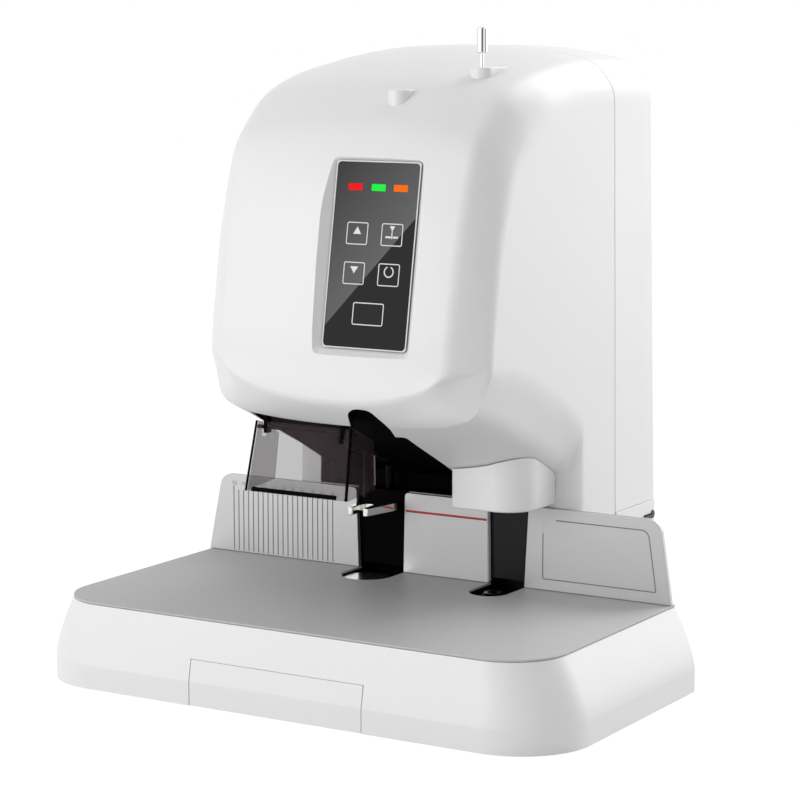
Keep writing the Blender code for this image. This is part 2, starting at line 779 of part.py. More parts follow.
def panel_matrix():
    """Return the frame of the control panel: u across, v up its slope, w out of its face."""
    tilt = math.radians(PANEL_TILT)
    turn = Matrix(((1, 0, 0), (0, math.sin(tilt), -math.cos(tilt)),
                   (0, math.cos(tilt), math.sin(tilt))))
    place = Vector((PANEL_X, STATION_Y - PANEL_FORWARD, head_z(PANEL_UP_SHARE)))
    return Matrix.Translation(place) @ turn.to_4x4()


def panel_box(name, centre, size, back, front, look=None, bevel=0.0):
    """Make a box in the panel's frame, from a depth behind its face to one in front."""
    obj = box(name, (centre[0] - size[0] / 2, centre[1] - size[1] / 2, back),
              (centre[0] + size[0] / 2, centre[1] + size[1] / 2, front), look, bevel)
    obj.matrix_world = panel_matrix() @ Matrix.Translation(obj.location)
    return obj


def well_outline(centre_x, centre_y, radius, rear_y):
    """Return a U-shaped outline: a round front and straight sides back to rear_y."""
    points = [Vector((centre_x + radius, rear_y)), Vector((centre_x - radius, rear_y))]
    for step in range(ROUND_STEPS // 2 + 1):
        angle = math.pi * (1 + step / (ROUND_STEPS // 2))
        points.append(Vector((centre_x + radius * math.cos(angle),
                              centre_y + radius * math.sin(angle))))
    return points


def base_outline(side, front, corner):
    """Return the base's plan outline for a side inset, a front inset and a corner radius."""
    half = WIDTH / 2 - side
    rear = STATION_Y + BASE_REAR_BEHIND_STATION
    return rounded_outline([(half, rear, 0), (-half, rear, 0),
                            (-half, FRONT_Y + front, corner), (half, FRONT_Y + front, corner)])


def base_front_inset(z):
    """Return how far the base's front leans back at a height."""
    share = max(0, z - SKIRT_TOP) / (TABLE_TOP - SKIRT_TOP)
    return TABLE_FRONT_INSET * share


def base_insets(share):
    """Return the side and front insets at a share of the way from the skirt to the table."""
    bulge = share ** BASE_TAPER_POWER
    corner = BASE_CORNER + (TABLE_CORNER - BASE_CORNER) * share
    return TABLE_SIDE_INSET * bulge, TABLE_FRONT_INSET * share, corner


def well_cutters(name, extra, low, high):
    """Return two U-shaped cutters for the wells, wider than them by extra."""
    rear = FENCE_Y + OVERRUN * 3
    drill = well_outline(DRILL_X, STATION_Y, DRILL_WELL_RADIUS + extra, rear)
    rivet = well_outline(RIVET_X, STATION_Y - RIVET_WELL_SETBACK, RIVET_WELL_RADIUS + extra, rear)
    return (plate(name + "_drill_cut", drill, low, high),
            plate(name + "_rivet_cut", rivet, low, high))


def tower_notch(name):
    """Return the block that clears the tower out of the base and table."""
    half = side_x(SEAM_Y, TOWER_FOOT_Z) + GAP * 2
    return box(name, (-half, TOWER_FRONT_Y - GAP, -OVERRUN),
               (half, SEAM_Y, TABLE_TOP + OVERRUN))


def build_base():
    """Build the base housing, floor, feet and table sheet."""
    rings = []
    for z in (SKIRT_LIFT, SKIRT_TOP):
        rings.append([(p.x, p.y, z) for p in base_outline(0, 0, BASE_CORNER)])
    top = TABLE_TOP - TABLE_THICKNESS - GAP
    for share in BASE_LEVEL_SHARES[1:]:
        z = SKIRT_TOP + (top - SKIRT_TOP) * share
        rings.append([(p.x, p.y, z) for p in base_outline(*base_insets(share))])
    lid = [(len(rings) - 1, c) for c in range(len(rings[0]))]
    housing = surface("base_housing", rings, WHITE_PLASTIC, [lid], closed_rows=True)
    thicken(housing, WALL)
    drawer_hole = box("drawer_hole", (-DRAWER_WIDTH / 2 - GAP, FRONT_Y - OVERRUN, -OVERRUN),
                      (DRAWER_WIDTH / 2 + GAP, FRONT_Y + DRAWER_FRONT_THICKNESS * 3,
                       DRAWER_TOP + GAP))
    cut(housing, drawer_hole, tower_notch("housing_tower_notch"),
        *well_cutters("housing", WELL_RIM + GAP, TABLE_TOP / 2, TABLE_TOP + OVERRUN))

    floor_top = FOOT_HEIGHT + GAP + FLOOR_THICKNESS
    inset = WALL + GAP
    neck = TOWER_HALF_WIDTH - TOWER_CORNER - inset * 2
    wide = TOWER_HALF_WIDTH - inset
    neck_front, neck_rear = TOWER_FRONT_Y - GAP - inset, TOWER_FRONT_Y + TOWER_CORNER * 2
    half = WIDTH / 2 - inset
    front = FRONT_Y + DRAWER_FRONT_THICKNESS * 3
    floor_rear = REAR_Y - inset - REAR_EDGE
    floor = rounded_outline([
        (half, neck_front, 0), (neck, neck_front, 0), (neck, neck_rear, 0), (wide, neck_rear, 0),
        (wide, floor_rear, 0), (-wide, floor_rear, 0), (-wide, neck_rear, 0),
        (-neck, neck_rear, 0), (-neck, neck_front, 0), (-half, neck_front, 0),
        (-half, front, BASE_CORNER - inset), (half, front, BASE_CORNER - inset)])
    plate("base_floor", floor, FOOT_HEIGHT + GAP, floor_top, ZINC_STEEL)

    side = WIDTH / 2 * FOOT_SIDE_SHARE
    rear_side = TOWER_HALF_WIDTH * FOOT_REAR_SHARE
    places = {
        "foot_front_left": (-side, FRONT_Y + FOOT_INSET),
        "foot_front_right": (side, FRONT_Y + FOOT_INSET),
        "foot_rear_left": (-rear_side, REAR_Y - FOOT_INSET),
        "foot_rear_right": (rear_side, REAR_Y - FOOT_INSET),
    }
    for name, place in places.items():
        cylinder(name, FOOT_RADIUS, 0, FOOT_HEIGHT, place, RUBBER)

    side_inset, front_inset, corner = base_insets(1)
    sheet = base_outline(side_inset + GAP, front_inset + GAP, corner)
    table = plate("table_plate", sheet, TABLE_TOP - TABLE_THICKNESS, TABLE_TOP, TABLE_GREY)
    cut(table, tower_notch("table_tower_notch"),
        *well_cutters("table", 0, TABLE_TOP - OVERRUN, TABLE_TOP + OVERRUN))


def build_well(name, centre_x, setback, radius, notch):
    """Build a black well: a U-shaped cup under the table and a channel up behind the fence."""
    centre_y = STATION_Y - setback
    bottom = TABLE_TOP - WELL_DEPTH
    cup_top = TABLE_TOP - TABLE_THICKNESS - GAP
    front = TOWER_FRONT_Y
    back = FENCE_Y + CHANNEL_BACK_BEHIND_FENCE
    outer = well_outline(centre_x, centre_y, radius + WELL_RIM, front + WELL_WALL)
    well = plate(name, outer, bottom, cup_top, BLACK_PLASTIC)
    left, right = notch[0] - WELL_WALL / 2, notch[1] + WELL_WALL / 2
    channel = box(name + "_channel", (left, front, bottom), (right, back, FENCE_TOP))
    join_solid(well, channel)
    inner = well_outline(centre_x, centre_y, radius - GAP, front + WELL_WALL * 2)
    cup_hollow = plate(name + "_cup_hollow", inner, bottom + WELL_WALL, cup_top + OVERRUN)
    hollow = box(name + "_channel_hollow",
                 (left + WELL_WALL, front - OVERRUN, cup_top + GAP),
                 (right - WELL_WALL, back - WELL_WALL, FENCE_TOP + OVERRUN))
    foot = box(name + "_channel_foot",
               (centre_x - radius + GAP, front - OVERRUN / 3, bottom + WELL_WALL),
               (centre_x + radius - GAP, back - WELL_WALL, cup_top + OVERRUN))
    return cut(well, cup_hollow, hollow, foot)


def build_wells():
    """Build both wells with the drilling disc and the lower rivet die."""
    build_well("drill_well", DRILL_X, 0, DRILL_WELL_RADIUS, DRILL_NOTCH_TOP)
    build_well("rivet_well", RIVET_X, RIVET_WELL_SETBACK, RIVET_WELL_RADIUS, RIVET_NOTCH_TOP)
    seat = TABLE_TOP - WELL_DEPTH + WELL_WALL + GAP
    disc_top = TABLE_TOP - DISC_BELOW_TABLE
    edge = BIT_EDGE
    turned("drilling_disc", [(0, disc_top), (DISC_RADIUS - edge, disc_top),
                             (DISC_RADIUS, disc_top - edge), (DISC_RADIUS, seat), (0, seat)],
           (DRILL_X, STATION_Y), BRIGHT_STEEL)
    die_top = TABLE_TOP - LOWER_DIE_BELOW_TABLE
    rim = LOWER_DIE_RADIUS
    turned("lower_rivet_die", [(0, die_top - rim / 6), (rim / 3, die_top - rim / 6),
                               (rim / 2, die_top), (rim * 0.8, die_top),
                               (rim, die_top - rim / 5), (rim, seat), (0, seat)],
           (RIVET_X, STATION_Y), BRIGHT_STEEL)


def build_fence():
    """Build the three fence plates that stand on the table beside the two notches."""
    low, high = TABLE_TOP + GAP, FENCE_TOP
    inner = FENCE_INNER_CORNER
    outer = FENCE_CORNER
    outlines = {
        "fence_left": [(-FENCE_HALF_BOTTOM, low, 0), (DRILL_NOTCH_BOTTOM[0], low, 0),
                       (DRILL_NOTCH_TOP[0], high, inner), (-FENCE_HALF_TOP, high, outer)],
        "fence_middle": [(DRILL_NOTCH_BOTTOM[1], low, 0), (RIVET_NOTCH_BOTTOM[0], low, 0),
                         (RIVET_NOTCH_TOP[0], high, inner), (DRILL_NOTCH_TOP[1], high, inner)],
        "fence_right": [(RIVET_NOTCH_BOTTOM[1], low, 0), (FENCE_HALF_BOTTOM, low, 0),
                        (FENCE_HALF_TOP, high, outer), (RIVET_NOTCH_TOP[1], high, inner)],
    }
    for name, corners in outlines.items():
        plate(name, rounded_outline(corners), FENCE_Y, FENCE_Y + FENCE_THICKNESS,
              SILVER_SHEET, plane="XZ")


def build_drawer():
    """Build the drawer, whose front follows the base, and its two runners."""
    low = SKIRT_LIFT + GAP
    inset = base_front_inset(DRAWER_TOP)
    back = FRONT_Y + inset + DRAWER_FRONT_THICKNESS
    profile = [Vector((FRONT_Y, low)), Vector((back, low)), Vector((back, DRAWER_TOP)),
               Vector((FRONT_Y + inset, DRAWER_TOP)), Vector((FRONT_Y, SKIRT_TOP))]
    half = DRAWER_WIDTH / 2 - GAP
    drawer = plate("drawer", profile, -half, half, WHITE_PLASTIC, plane="YZ")
    floor_top = FOOT_HEIGHT + GAP + FLOOR_THICKNESS
    ledge_top = floor_top + GAP + RUNNER_THICKNESS
    tray_low = ledge_top + GAP
    tray_half = DRAWER_TRAY_WIDTH / 2
    tray_rear = FRONT_Y + DRAWER_DEPTH
    tray = box("drawer_tray", (-tray_half, back - WALL, tray_low),
               (tray_half, tray_rear, DRAWER_TRAY_TOP))
    hollow = box("drawer_hollow", (-tray_half + TRAY_WALL, back, tray_low + TRAY_WALL),
                 (tray_half - TRAY_WALL, tray_rear - TRAY_WALL, DRAWER_TRAY_TOP + OVERRUN))
    join_solid(drawer, tray)
    cut(drawer, hollow)
    start = FRONT_Y + RUNNER_SETBACK
    for name, sign in (("drawer_runner_left", -1), ("drawer_runner_right", 1)):
        wall_in = tray_half + RUN_CLEARANCE
        wall_out = wall_in + RUNNER_THICKNESS
        ledge = wall_in - RUNNER_LEDGE
        base = floor_top + GAP
        shape = [(ledge, base), (wall_out, base), (wall_out, base + RUNNER_HEIGHT),
                 (wall_in, base + RUNNER_HEIGHT), (wall_in, ledge_top), (ledge, ledge_top)]
        outline = [Vector((sign * x, z)) for x, z in shape]
        plate(name, outline, start, start + RUNNER_LENGTH, ZINC_STEEL, plane="XZ")
    hang_on(axis_empty("drawer_slide", (0, FRONT_Y, tray_low)), drawer)


def drawn_in(points, distance):
    """Move an outline's corners inward along their mitres, for a clockwise outline."""
    moved = []
    for index, here in enumerate(points):
        before = (here - points[index - 1]).normalized()
        after = (points[(index + 1) % len(points)] - here).normalized()
        first, second = Vector((before.y, -before.x)), Vector((after.y, -after.x))
        moved.append(here + (first + second) * (distance / (1 + first.dot(second))))
    return moved


def mouth_outline(inset, rear):
    """Return the plan of the opening under the head with its sight arch, drawn in by inset."""
    front, step = STATION_Y - MOUTH_FRONT, STATION_Y - MOUTH_RIGHT_FRONT
    corners = [(MOUTH_RIGHT, rear, 0), (MOUTH_RIGHT_NEAR, step, MOUTH_ROUND), (ARCH_RIGHT, step, 0)]
    for (x, forward), radius in ((ARCH_HIP, ARCH_HIP_ROUND), (ARCH_CROWN, ARCH_CROWN_ROUND),
                                 (ARCH_SHOULDER, ARCH_SHOULDER_ROUND)):
        corners.append((x, STATION_Y - forward, radius))
    corners += [(ARCH_LEFT, front, 0), (MOUTH_LEFT_FRONT, front, 0), (MOUTH_LEFT_REAR, rear, 0)]
    return drawn_in(rounded_outline(corners, 4), inset)


def holder_outline(x, y, radius):
    """Return the outline of a tool holder: a round front that runs back into the slope."""
    points = [Vector((x + radius, y + HOLDER_TAIL)), Vector((x - radius, y + HOLDER_TAIL))]
    for step in range(SMALL_STEPS // 2 + 1):
        angle = math.pi * (1 + step / (SMALL_STEPS // 2))
        points.append(Vector((x + radius * math.cos(angle), y + radius * math.sin(angle))))
    return points


def recess_cutter():
    """Return the flared block that sinks the panel into the head's face."""
    rows = []
    for depth, flare_u, flare_v, corner in (
            (0, 0, 0, PANEL_CORNER),
            (RECESS_FLARE_REACH, RECESS_FLARE_SIDE, RECESS_FLARE_END, RECESS_CORNER),
            (RECESS_FLARE_REACH * 4, RECESS_FLARE_SIDE * 4, RECESS_FLARE_END * 4, RECESS_CORNER * 2)):
        half_u = PANEL_WIDTH / 2 + GAP + flare_u
        half_v = PANEL_HEIGHT / 2 + GAP + flare_v
        ring = rounded_outline([(half_u, -half_v, corner), (half_u, half_v, corner),
                                (-half_u, half_v, corner), (-half_u, -half_v, corner)], 3)
        rows.append([panel_matrix() @ Vector((p.x, p.y, depth - PANEL_THICKNESS)) for p in ring])
    count = len(rows[0])
    caps = [[(0, c) for c in range(count)], [(2, c) for c in range(count)]]
    return surface("panel_recess", rows, None, caps, closed_rows=True)


def build_front_shell():
    """Build the white shell of the head and the front of the tower."""
    shell = head_surface("front_shell", WHITE_PLASTIC, closed=False)
    thicken(shell, WALL)

    pod = panel_box("panel_pod", (0, 0), (PANEL_WIDTH + POD_MARGIN * 2, PANEL_HEIGHT + POD_MARGIN * 2),
                    -POD_BACK, RECESS_FLARE_REACH * 3)
    inside = head_surface("pod_limit", None, closed=True)
    inside.location.y += POD_SKIN
    join_solid(pod, inside, "INTERSECT")
    join_solid(shell, pod)

    holders = ((SPARE_HOLDER_X, STATION_Y - SPARE_HOLDER_FORWARD, head_z(SPARE_HOLDER_UP_SHARE)),
               (NEEDLE_HOLDER_X, STATION_Y - NEEDLE_HOLDER_FORWARD, head_z(NEEDLE_HOLDER_UP_SHARE)))
    for index, (x, y, top) in enumerate(holders):
        boss = plate(f"holder_boss_{index}", holder_outline(x, y, HOLDER_RADIUS),
                     top - HOLDER_DEPTH, top)
        join_solid(shell, boss)

    mouth = plate("mouth_cut", mouth_outline(0, TOWER_FRONT_Y + WALL * 2),
                  FENCE_TOP + GAP, head_z(MOUTH_UP_SHARE))
    port = box("press_port",
               (SHELL_PORT_LEFT, STATION_Y - SHELL_PORT_FORWARD, PRESS_COVER_BOTTOM + WALL),
               (SHELL_PORT_RIGHT, TOWER_FRONT_Y + WALL * 2, head_z(PRESS_COVER_UP_SHARE)))
    tools = [mouth, port, recess_cutter()]
    window = panel_box("panel_window", (0, 0), (PANEL_WIDTH - POD_LEDGE * 2, PANEL_HEIGHT - POD_LEDGE * 2),
                       -POD_BACK * 2, OVERRUN)
    tools.append(window)
    for name, notch in (("drill", DRILL_NOTCH_TOP), ("rivet", RIVET_NOTCH_TOP)):
        margin = WELL_WALL / 2 + GAP
        tools.append(box(name + "_shell_notch",
                         (notch[0] - margin, TOWER_FRONT_Y - OVERRUN, TABLE_TOP - WELL_DEPTH - GAP),
                         (notch[1] + margin, TOWER_FRONT_Y + WALL * 2, FENCE_TOP + GAP * 2)))
    neck = TOWER_HALF_WIDTH - TOWER_CORNER - WALL
    tools.append(box("floor_pass", (-neck, TOWER_FRONT_Y - OVERRUN, -OVERRUN),
                     (neck, TOWER_FRONT_Y + WALL * 2,
                      FOOT_HEIGHT + FLOOR_THICKNESS + GAP * 2)))
    for index, (x, y, top) in enumerate(holders):
        tools.append(cylinder(f"holder_bore_{index}", HOLDER_BORE, top - HOLDER_BORE_DEPTH,
                              top + OVERRUN, (x, y), steps=SMALL_STEPS))
    cut(shell, *tools)


def rear_section(inset, drop, y_of):
    """Return one arch of the rear cover, from its left foot over the top to its right foot."""
    row = head_row(FACE_ROW_SHARES[0])
    half = section_points(row, Vector((-1, 0)))
    foot = COVER_SPLIT_Z + GAP
    half.append(Vector((side_x(SEAM_Y, foot), SEAM_Y, foot)))
    shaped = []
    for index, point in enumerate(half):
        x = max(0, point.x - inset)
        is_foot = index == len(half) - 1
        z = point.z if is_foot else point.z - inset - drop
        shaped.append(Vector((x, y_of(z), z)))
    mirrored = [Vector((-p.x, p.y, p.z)) for p in reversed(shaped[1:])]
    return mirrored + shaped


def rear_y(z):
    """Return where the leaning rear face is at a height."""
    lean = REAR_LEAN * max(0, z - COVER_SPLIT_Z) / (HEAD_TOP - COVER_SPLIT_Z)
    return REAR_Y - lean


def build_rear_covers():
    """Build the tall rear cover and the low cover that holds the electrics."""
    rows = [rear_section(0, 0, lambda z: SEAM_Y + SEAM_GAP),
            rear_section(0, REAR_TOP_DROP, lambda z: rear_y(z) - REAR_EDGE),
            rear_section(REAR_EDGE, REAR_TOP_DROP, rear_y)]
    back = [(2, c) for c in range(len(rows[0]))]
    cover = surface("rear_cover", rows, WHITE_PLASTIC, [back])
    thicken(cover, WALL)

    half = side_x(SEAM_Y, COVER_SPLIT_Z / 2)
    start = SEAM_Y + SEAM_GAP
    outer = rounded_outline([(half, start, 0), (half, REAR_Y, REAR_EDGE), (-half, REAR_Y, REAR_EDGE),
                             (-half, start, 0), (-half + WALL, start, 0),
                             (-half + WALL, REAR_Y - WALL, 0), (half - WALL, REAR_Y - WALL, 0),
                             (half - WALL, start, 0)], 3)
    low_cover = plate("rear_base_cover", outer, TOWER_FOOT_Z, COVER_SPLIT_Z, WHITE_PLASTIC)

    inlet_low = (INLET_X - INLET_SIZE[0] / 2, INLET_Z - INLET_SIZE[1] / 2)
    inlet_high = (INLET_X + INLET_SIZE[0] / 2, INLET_Z + INLET_SIZE[1] / 2)
    inlet_front, inlet_back = REAR_Y - INLET_DEPTH, REAR_Y
    inlet = box("power_inlet", (inlet_low[0], inlet_front, inlet_low[1]),
                (inlet_high[0], inlet_back, inlet_high[1]), BLACK_PLASTIC)
    recess = box("inlet_recess",
                 (INLET_X - INLET_RECESS[0] / 2, REAR_Y - INLET_RECESS_DEPTH,
                  INLET_Z - INLET_RECESS[1] / 2),
                 (INLET_X + INLET_RECESS[0] / 2, REAR_Y + OVERRUN, INLET_Z + INLET_RECESS[1] / 2))
    cut(inlet, recess)
    inlet_hole = box("inlet_hole",
                     (inlet_low[0] - GAP, REAR_Y - WALL * 2, inlet_low[1] - GAP),
                     (inlet_high[0] + GAP, REAR_Y + OVERRUN, inlet_high[1] + GAP))

    switch_y = REAR_Y - SWITCH_INSET
    wide, tall = SWITCH_SIZE
    slot = SWITCH_SLOT_HEIGHT / 2
    switch = box("power_switch", (half - SWITCH_DEPTH, switch_y - wide / 2, SWITCH_Z - tall / 2),
                 (half + SWITCH_PROUD, switch_y + wide / 2, SWITCH_Z + tall / 2), BLACK_PLASTIC)
    switch_hole = box("switch_hole", (half - WALL * 2, switch_y - wide / 2 - GAP, SWITCH_Z - slot),
                      (half + OVERRUN, switch_y + wide / 2 + GAP, SWITCH_Z + slot))
    hang_on(axis_empty("power_switch_axis", (half - SWITCH_PROUD, switch_y, SWITCH_Z)), switch)

    fuse_y = REAR_Y - FUSE_INSET
    fuse_x = half + FUSE_PROUD - FUSE_LENGTH / 2
    lying_cylinder("fuse_cap", FUSE_RADIUS, FUSE_LENGTH, (fuse_x, fuse_y, FUSE_Z), BLACK_PLASTIC)
    fuse_hole = lying_cylinder("fuse_hole", FUSE_RADIUS + GAP, FUSE_LENGTH * 2,
                               (half, fuse_y, FUSE_Z))
    cut(low_cover, inlet_hole, switch_hole, fuse_hole)

    base = FOOT_HEIGHT + GAP * 2 + FLOOR_THICKNESS
    long, deep, high = TRANSFORMER_SIZE
    middle = REAR_Y - TRANSFORMER_INSET
    box("transformer", (-long / 2, middle - deep / 2, base),
        (long / 2, middle + deep / 2, base + high), COPPER_TAPE, TRANSFORMER_EDGE)


def build_panel():
    """Build the glossy panel with its keys, lights and the board behind it."""
    size = (PANEL_WIDTH, PANEL_HEIGHT)
    half_u, half_v = PANEL_WIDTH / 2, PANEL_HEIGHT / 2
    outline = rounded_outline([(half_u, -half_v, PANEL_CORNER), (half_u, half_v, PANEL_CORNER),
                               (-half_u, half_v, PANEL_CORNER), (-half_u, -half_v, PANEL_CORNER)], 3)
    panel = plate("panel_plate", outline, -PANEL_THICKNESS + GAP, 0, PANEL_GLOSS)
    panel.matrix_world = panel_matrix() @ panel.matrix_world
    holes = []
    keys = {
        "key_up": (KEY_LEFT_U, KEY_UPPER_V, KEY_SIZE),
        "key_press": (KEY_RIGHT_U, KEY_UPPER_V, KEY_SIZE),
        "key_down": (KEY_LEFT_U, KEY_LOWER_V, KEY_SIZE),
        "key_reset": (KEY_RIGHT_U, KEY_LOWER_V, KEY_SIZE),
        "key_start": (KEY_MIDDLE_U, KEY_START_V, START_KEY_SIZE),
    }
    for name, (u, v, key_size) in keys.items():
        key = panel_box(name, (u, v), key_size, -KEY_THICKNESS, 0, KEY_FILM)
        hole = (key_size[0] + GAP * 2, key_size[1] + GAP * 2)
        holes.append(panel_box(name + "_hole", (u, v), hole, -OVERRUN, OVERRUN))
        hang_on(axis_empty(name + "_slide", panel_matrix() @ Vector((u, v, 0))), key)
    for (name, colour), u in zip(LED_COLOURS.items(), LED_U):
        panel_box(name, (u, LED_V), LED_SIZE, -LED_THICKNESS, 0, (colour, 0.3, 0.0))
        hole = (LED_SIZE[0] + GAP * 2, LED_SIZE[1] + GAP * 2)
        holes.append(panel_box(name + "_hole", (u, LED_V), hole, -OVERRUN, OVERRUN))
    cut(panel, *holes)
    board = (size[0] - POD_LEDGE, size[1] - POD_LEDGE)
    panel_box("control_board", (0, 0), board, -POD_BACK - GAP - BOARD_THICKNESS,
              -POD_BACK - GAP, BOARD_GREEN)


def build_needle():
    """Build the clearing needle that stands in its holder on the head."""
    foot = head_z(NEEDLE_HOLDER_UP_SHARE) - HOLDER_BORE_DEPTH + GAP
    knob = head_z(NEEDLE_HOLDER_UP_SHARE) + NEEDLE_KNOB_LIFT
    top = knob + NEEDLE_KNOB_LENGTH
    edge = NEEDLE_EDGE
    profile = [(0, top), (NEEDLE_KNOB_RADIUS - edge, top), (NEEDLE_KNOB_RADIUS, top - edge),
               (NEEDLE_KNOB_RADIUS, knob + edge), (NEEDLE_KNOB_RADIUS - edge, knob),
               (NEEDLE_RADIUS, knob), (NEEDLE_RADIUS, foot + NEEDLE_RADIUS), (0, foot)]
    place = (NEEDLE_HOLDER_X, STATION_Y - NEEDLE_HOLDER_FORWARD)
    needle = turned("clearing_needle", profile, place, BRIGHT_STEEL, SMALL_STEPS)
    hang_on(axis_empty("needle_slide", (*place, head_z(NEEDLE_HOLDER_UP_SHARE))), needle)


def roof_z(forward):
    """Return the underside of the black roof at a distance in front of the stations."""
    high, low = head_z(ROOF_FRONT_UP_SHARE), head_z(ROOF_REAR_UP_SHARE)
    return low + (high - low) * (forward + ROOF_REAR_BEHIND) / (ROOF_FRONT + ROOF_REAR_BEHIND)


def guard_pivot():
    """Return the guard's hinge axis as (y, z)."""
    return STATION_Y - GUARD_PIVOT_FORWARD, head_z(GUARD_PIVOT_UP_SHARE)


def build_roof():
    """Build the black roof under the head, with its rear wall, shelf and guard ears."""
    rear = STATION_Y + ROOF_REAR_BEHIND
    front, tip = STATION_Y - ROOF_FRONT, STATION_Y - ROOF_TIP
    front_z, tip_z = roof_z(ROOF_FRONT), head_z(ROOF_TIP_UP_SHARE)
    rear_z = roof_z(-ROOF_REAR_BEHIND)
    shelf_top = FENCE_TOP + GAP
    shelf_low = shelf_top - ROOF_THICKNESS
    shelf_front = TOWER_FRONT_Y + WALL + GAP
    thick = ROOF_THICKNESS
    profile = [Vector(p) for p in (
        (tip, tip_z), (front, front_z), (rear, rear_z), (rear, shelf_top), (shelf_front, shelf_top),
        (shelf_front, shelf_low), (rear + thick, shelf_low), (rear + thick, rear_z + thick),
        (front, front_z + thick), (tip, tip_z + thick))]
    roof = plate("head_roof", profile, ROOF_BLANK_LEFT, ROOF_BLANK_RIGHT, BLACK_PLASTIC, "YZ")
    limit = plate("roof_limit", mouth_outline(GAP * 2, rear + OVERRUN), 0, HEAD_TOP / 2)
    join_solid(roof, limit, "INTERSECT")
    pivot_y, pivot_z = guard_pivot()
    for name, sign in (("ear_left", -1), ("ear_right", 1)):
        x = DRILL_X + sign * (GUARD_HALF_TOP - EAR_INSET)
        ear = box(name, (x - EAR_THICKNESS / 2, pivot_y - EAR_HALF_WIDTH, pivot_z - EAR_DROP),
                  (x + EAR_THICKNESS / 2, pivot_y + EAR_HALF_WIDTH,
                   roof_z(GUARD_PIVOT_FORWARD) + thick / 2))
        join_solid(roof, ear)
    bore = lying_cylinder("ear_bore", PIN_BORE, GUARD_HALF_TOP * 2, (DRILL_X, pivot_y, pivot_z))
    spindle_hole = cylinder("roof_spindle_hole", ROOF_DRILL_HOLE, shelf_low - OVERRUN,
                            front_z, (DRILL_X, STATION_Y))
    rod_hole = cylinder("roof_rod_hole", ROOF_ROD_HOLE, shelf_low - OVERRUN, front_z,
                        (DRILL_X, STATION_Y + FOOT_ROD_BEHIND), steps=SMALL_STEPS)
    shelf_hole = box("shelf_hole",
                     (DRILL_NOTCH_TOP[0] - WELL_WALL, TOWER_FRONT_Y - OVERRUN, shelf_low - OVERRUN),
                     (DRILL_NOTCH_TOP[1] + WELL_WALL, rear - GAP, shelf_top + GAP))
    cut(roof, bore, spindle_hole, rod_hole, shelf_hole)


def build_guard():
    """Build the smoked guard, bent from one sheet, with the pin that it swings on."""
    wall = GUARD_WALL

    def corner(half, forward, z):
        return [Vector((DRILL_X + s * half, STATION_Y - forward, z)) for s in (-1, 1)]

    top = corner(GUARD_HALF_TOP, GUARD_FRONT_TOP, head_z(GUARD_TOP_UP_SHARE))
    bottom = corner(GUARD_HALF_BOTTOM, GUARD_FRONT_BOTTOM, head_z(GUARD_BOTTOM_UP_SHARE))
    rear_top = corner(GUARD_HALF_TOP, GUARD_REAR_TOP, head_z(GUARD_REAR_TOP_UP_SHARE))
    rear_bottom = corner(GUARD_HALF_BOTTOM, GUARD_REAR_BOTTOM, head_z(GUARD_REAR_BOTTOM_UP_SHARE))
    rows = [[rear_top[0], top[0], top[1], rear_top[1]],
            [rear_bottom[0], bottom[0], bottom[1], rear_bottom[1]]]
    guard = surface("drill_guard", rows, SMOKED_CLEAR)
    thicken(guard, wall)
    pivot_y, pivot_z = guard_pivot()
    bore = lying_cylinder("guard_bore", PIN_RADIUS + GAP, GUARD_HALF_BOTTOM * 3,
                          (DRILL_X, pivot_y, pivot_z))
    cut(guard, bore)
    for name, sign in (("left", -1), ("right", 1)):
        x = DRILL_X + sign * (GUARD_HALF_TOP - EAR_INSET)
        half = EAR_THICKNESS / 2 + EAR_NOTCH_SIDE
        notch = box("guard_notch_" + name,
                    (x - half, pivot_y - EAR_NOTCH_DROP, pivot_z - EAR_NOTCH_DROP),
                    (x + half, pivot_y + EAR_NOTCH_DROP, head_z(GUARD_TOP_UP_SHARE) + OVERRUN))
        cut(guard, notch)
    length = GUARD_HALF_TOP * 2 - GAP * 2
    pin = lying_cylinder("guard_pin", PIN_RADIUS, length, (DRILL_X, pivot_y, pivot_z), BRIGHT_STEEL)
    hang_on(axis_empty("guard_hinge", (DRILL_X, pivot_y, pivot_z)), guard, pin)


def build_press_cover():
    """Build the white cover that hangs under the head round the rivet press."""
    front = STATION_Y - PRESS_COVER_FORWARD
    rear = TOWER_FRONT_Y - GAP
    low = PRESS_COVER_BOTTOM

    def outline(inset):
        left, right = PRESS_COVER_LEFT + inset, PRESS_COVER_RIGHT - inset
        return rounded_outline([(left, rear - inset, 0), (left, front + inset, PRESS_COVER_EDGE),
                                (right, front + inset, PRESS_COVER_ROUND - inset),
                                (right, rear - inset, 0)], 7)

    cover = plate("press_cover", outline(0), low, head_z(PRESS_COVER_UP_SHARE), WHITE_PLASTIC)
    hollow = plate("press_cover_hollow", outline(WALL), low + WALL, head_z(PRESS_COVER_UP_SHARE) + OVERRUN)
    hole = cylinder("press_cover_hole", PRESS_HOLE, low - OVERRUN, low + OVERRUN,
                    (RIVET_X, STATION_Y))
    head = head_surface("press_cover_limit", None, closed=True)
    head.location.z -= GAP * 3
    head.location.y -= GAP * 1.5
    cut(cover, hollow, hole, head)


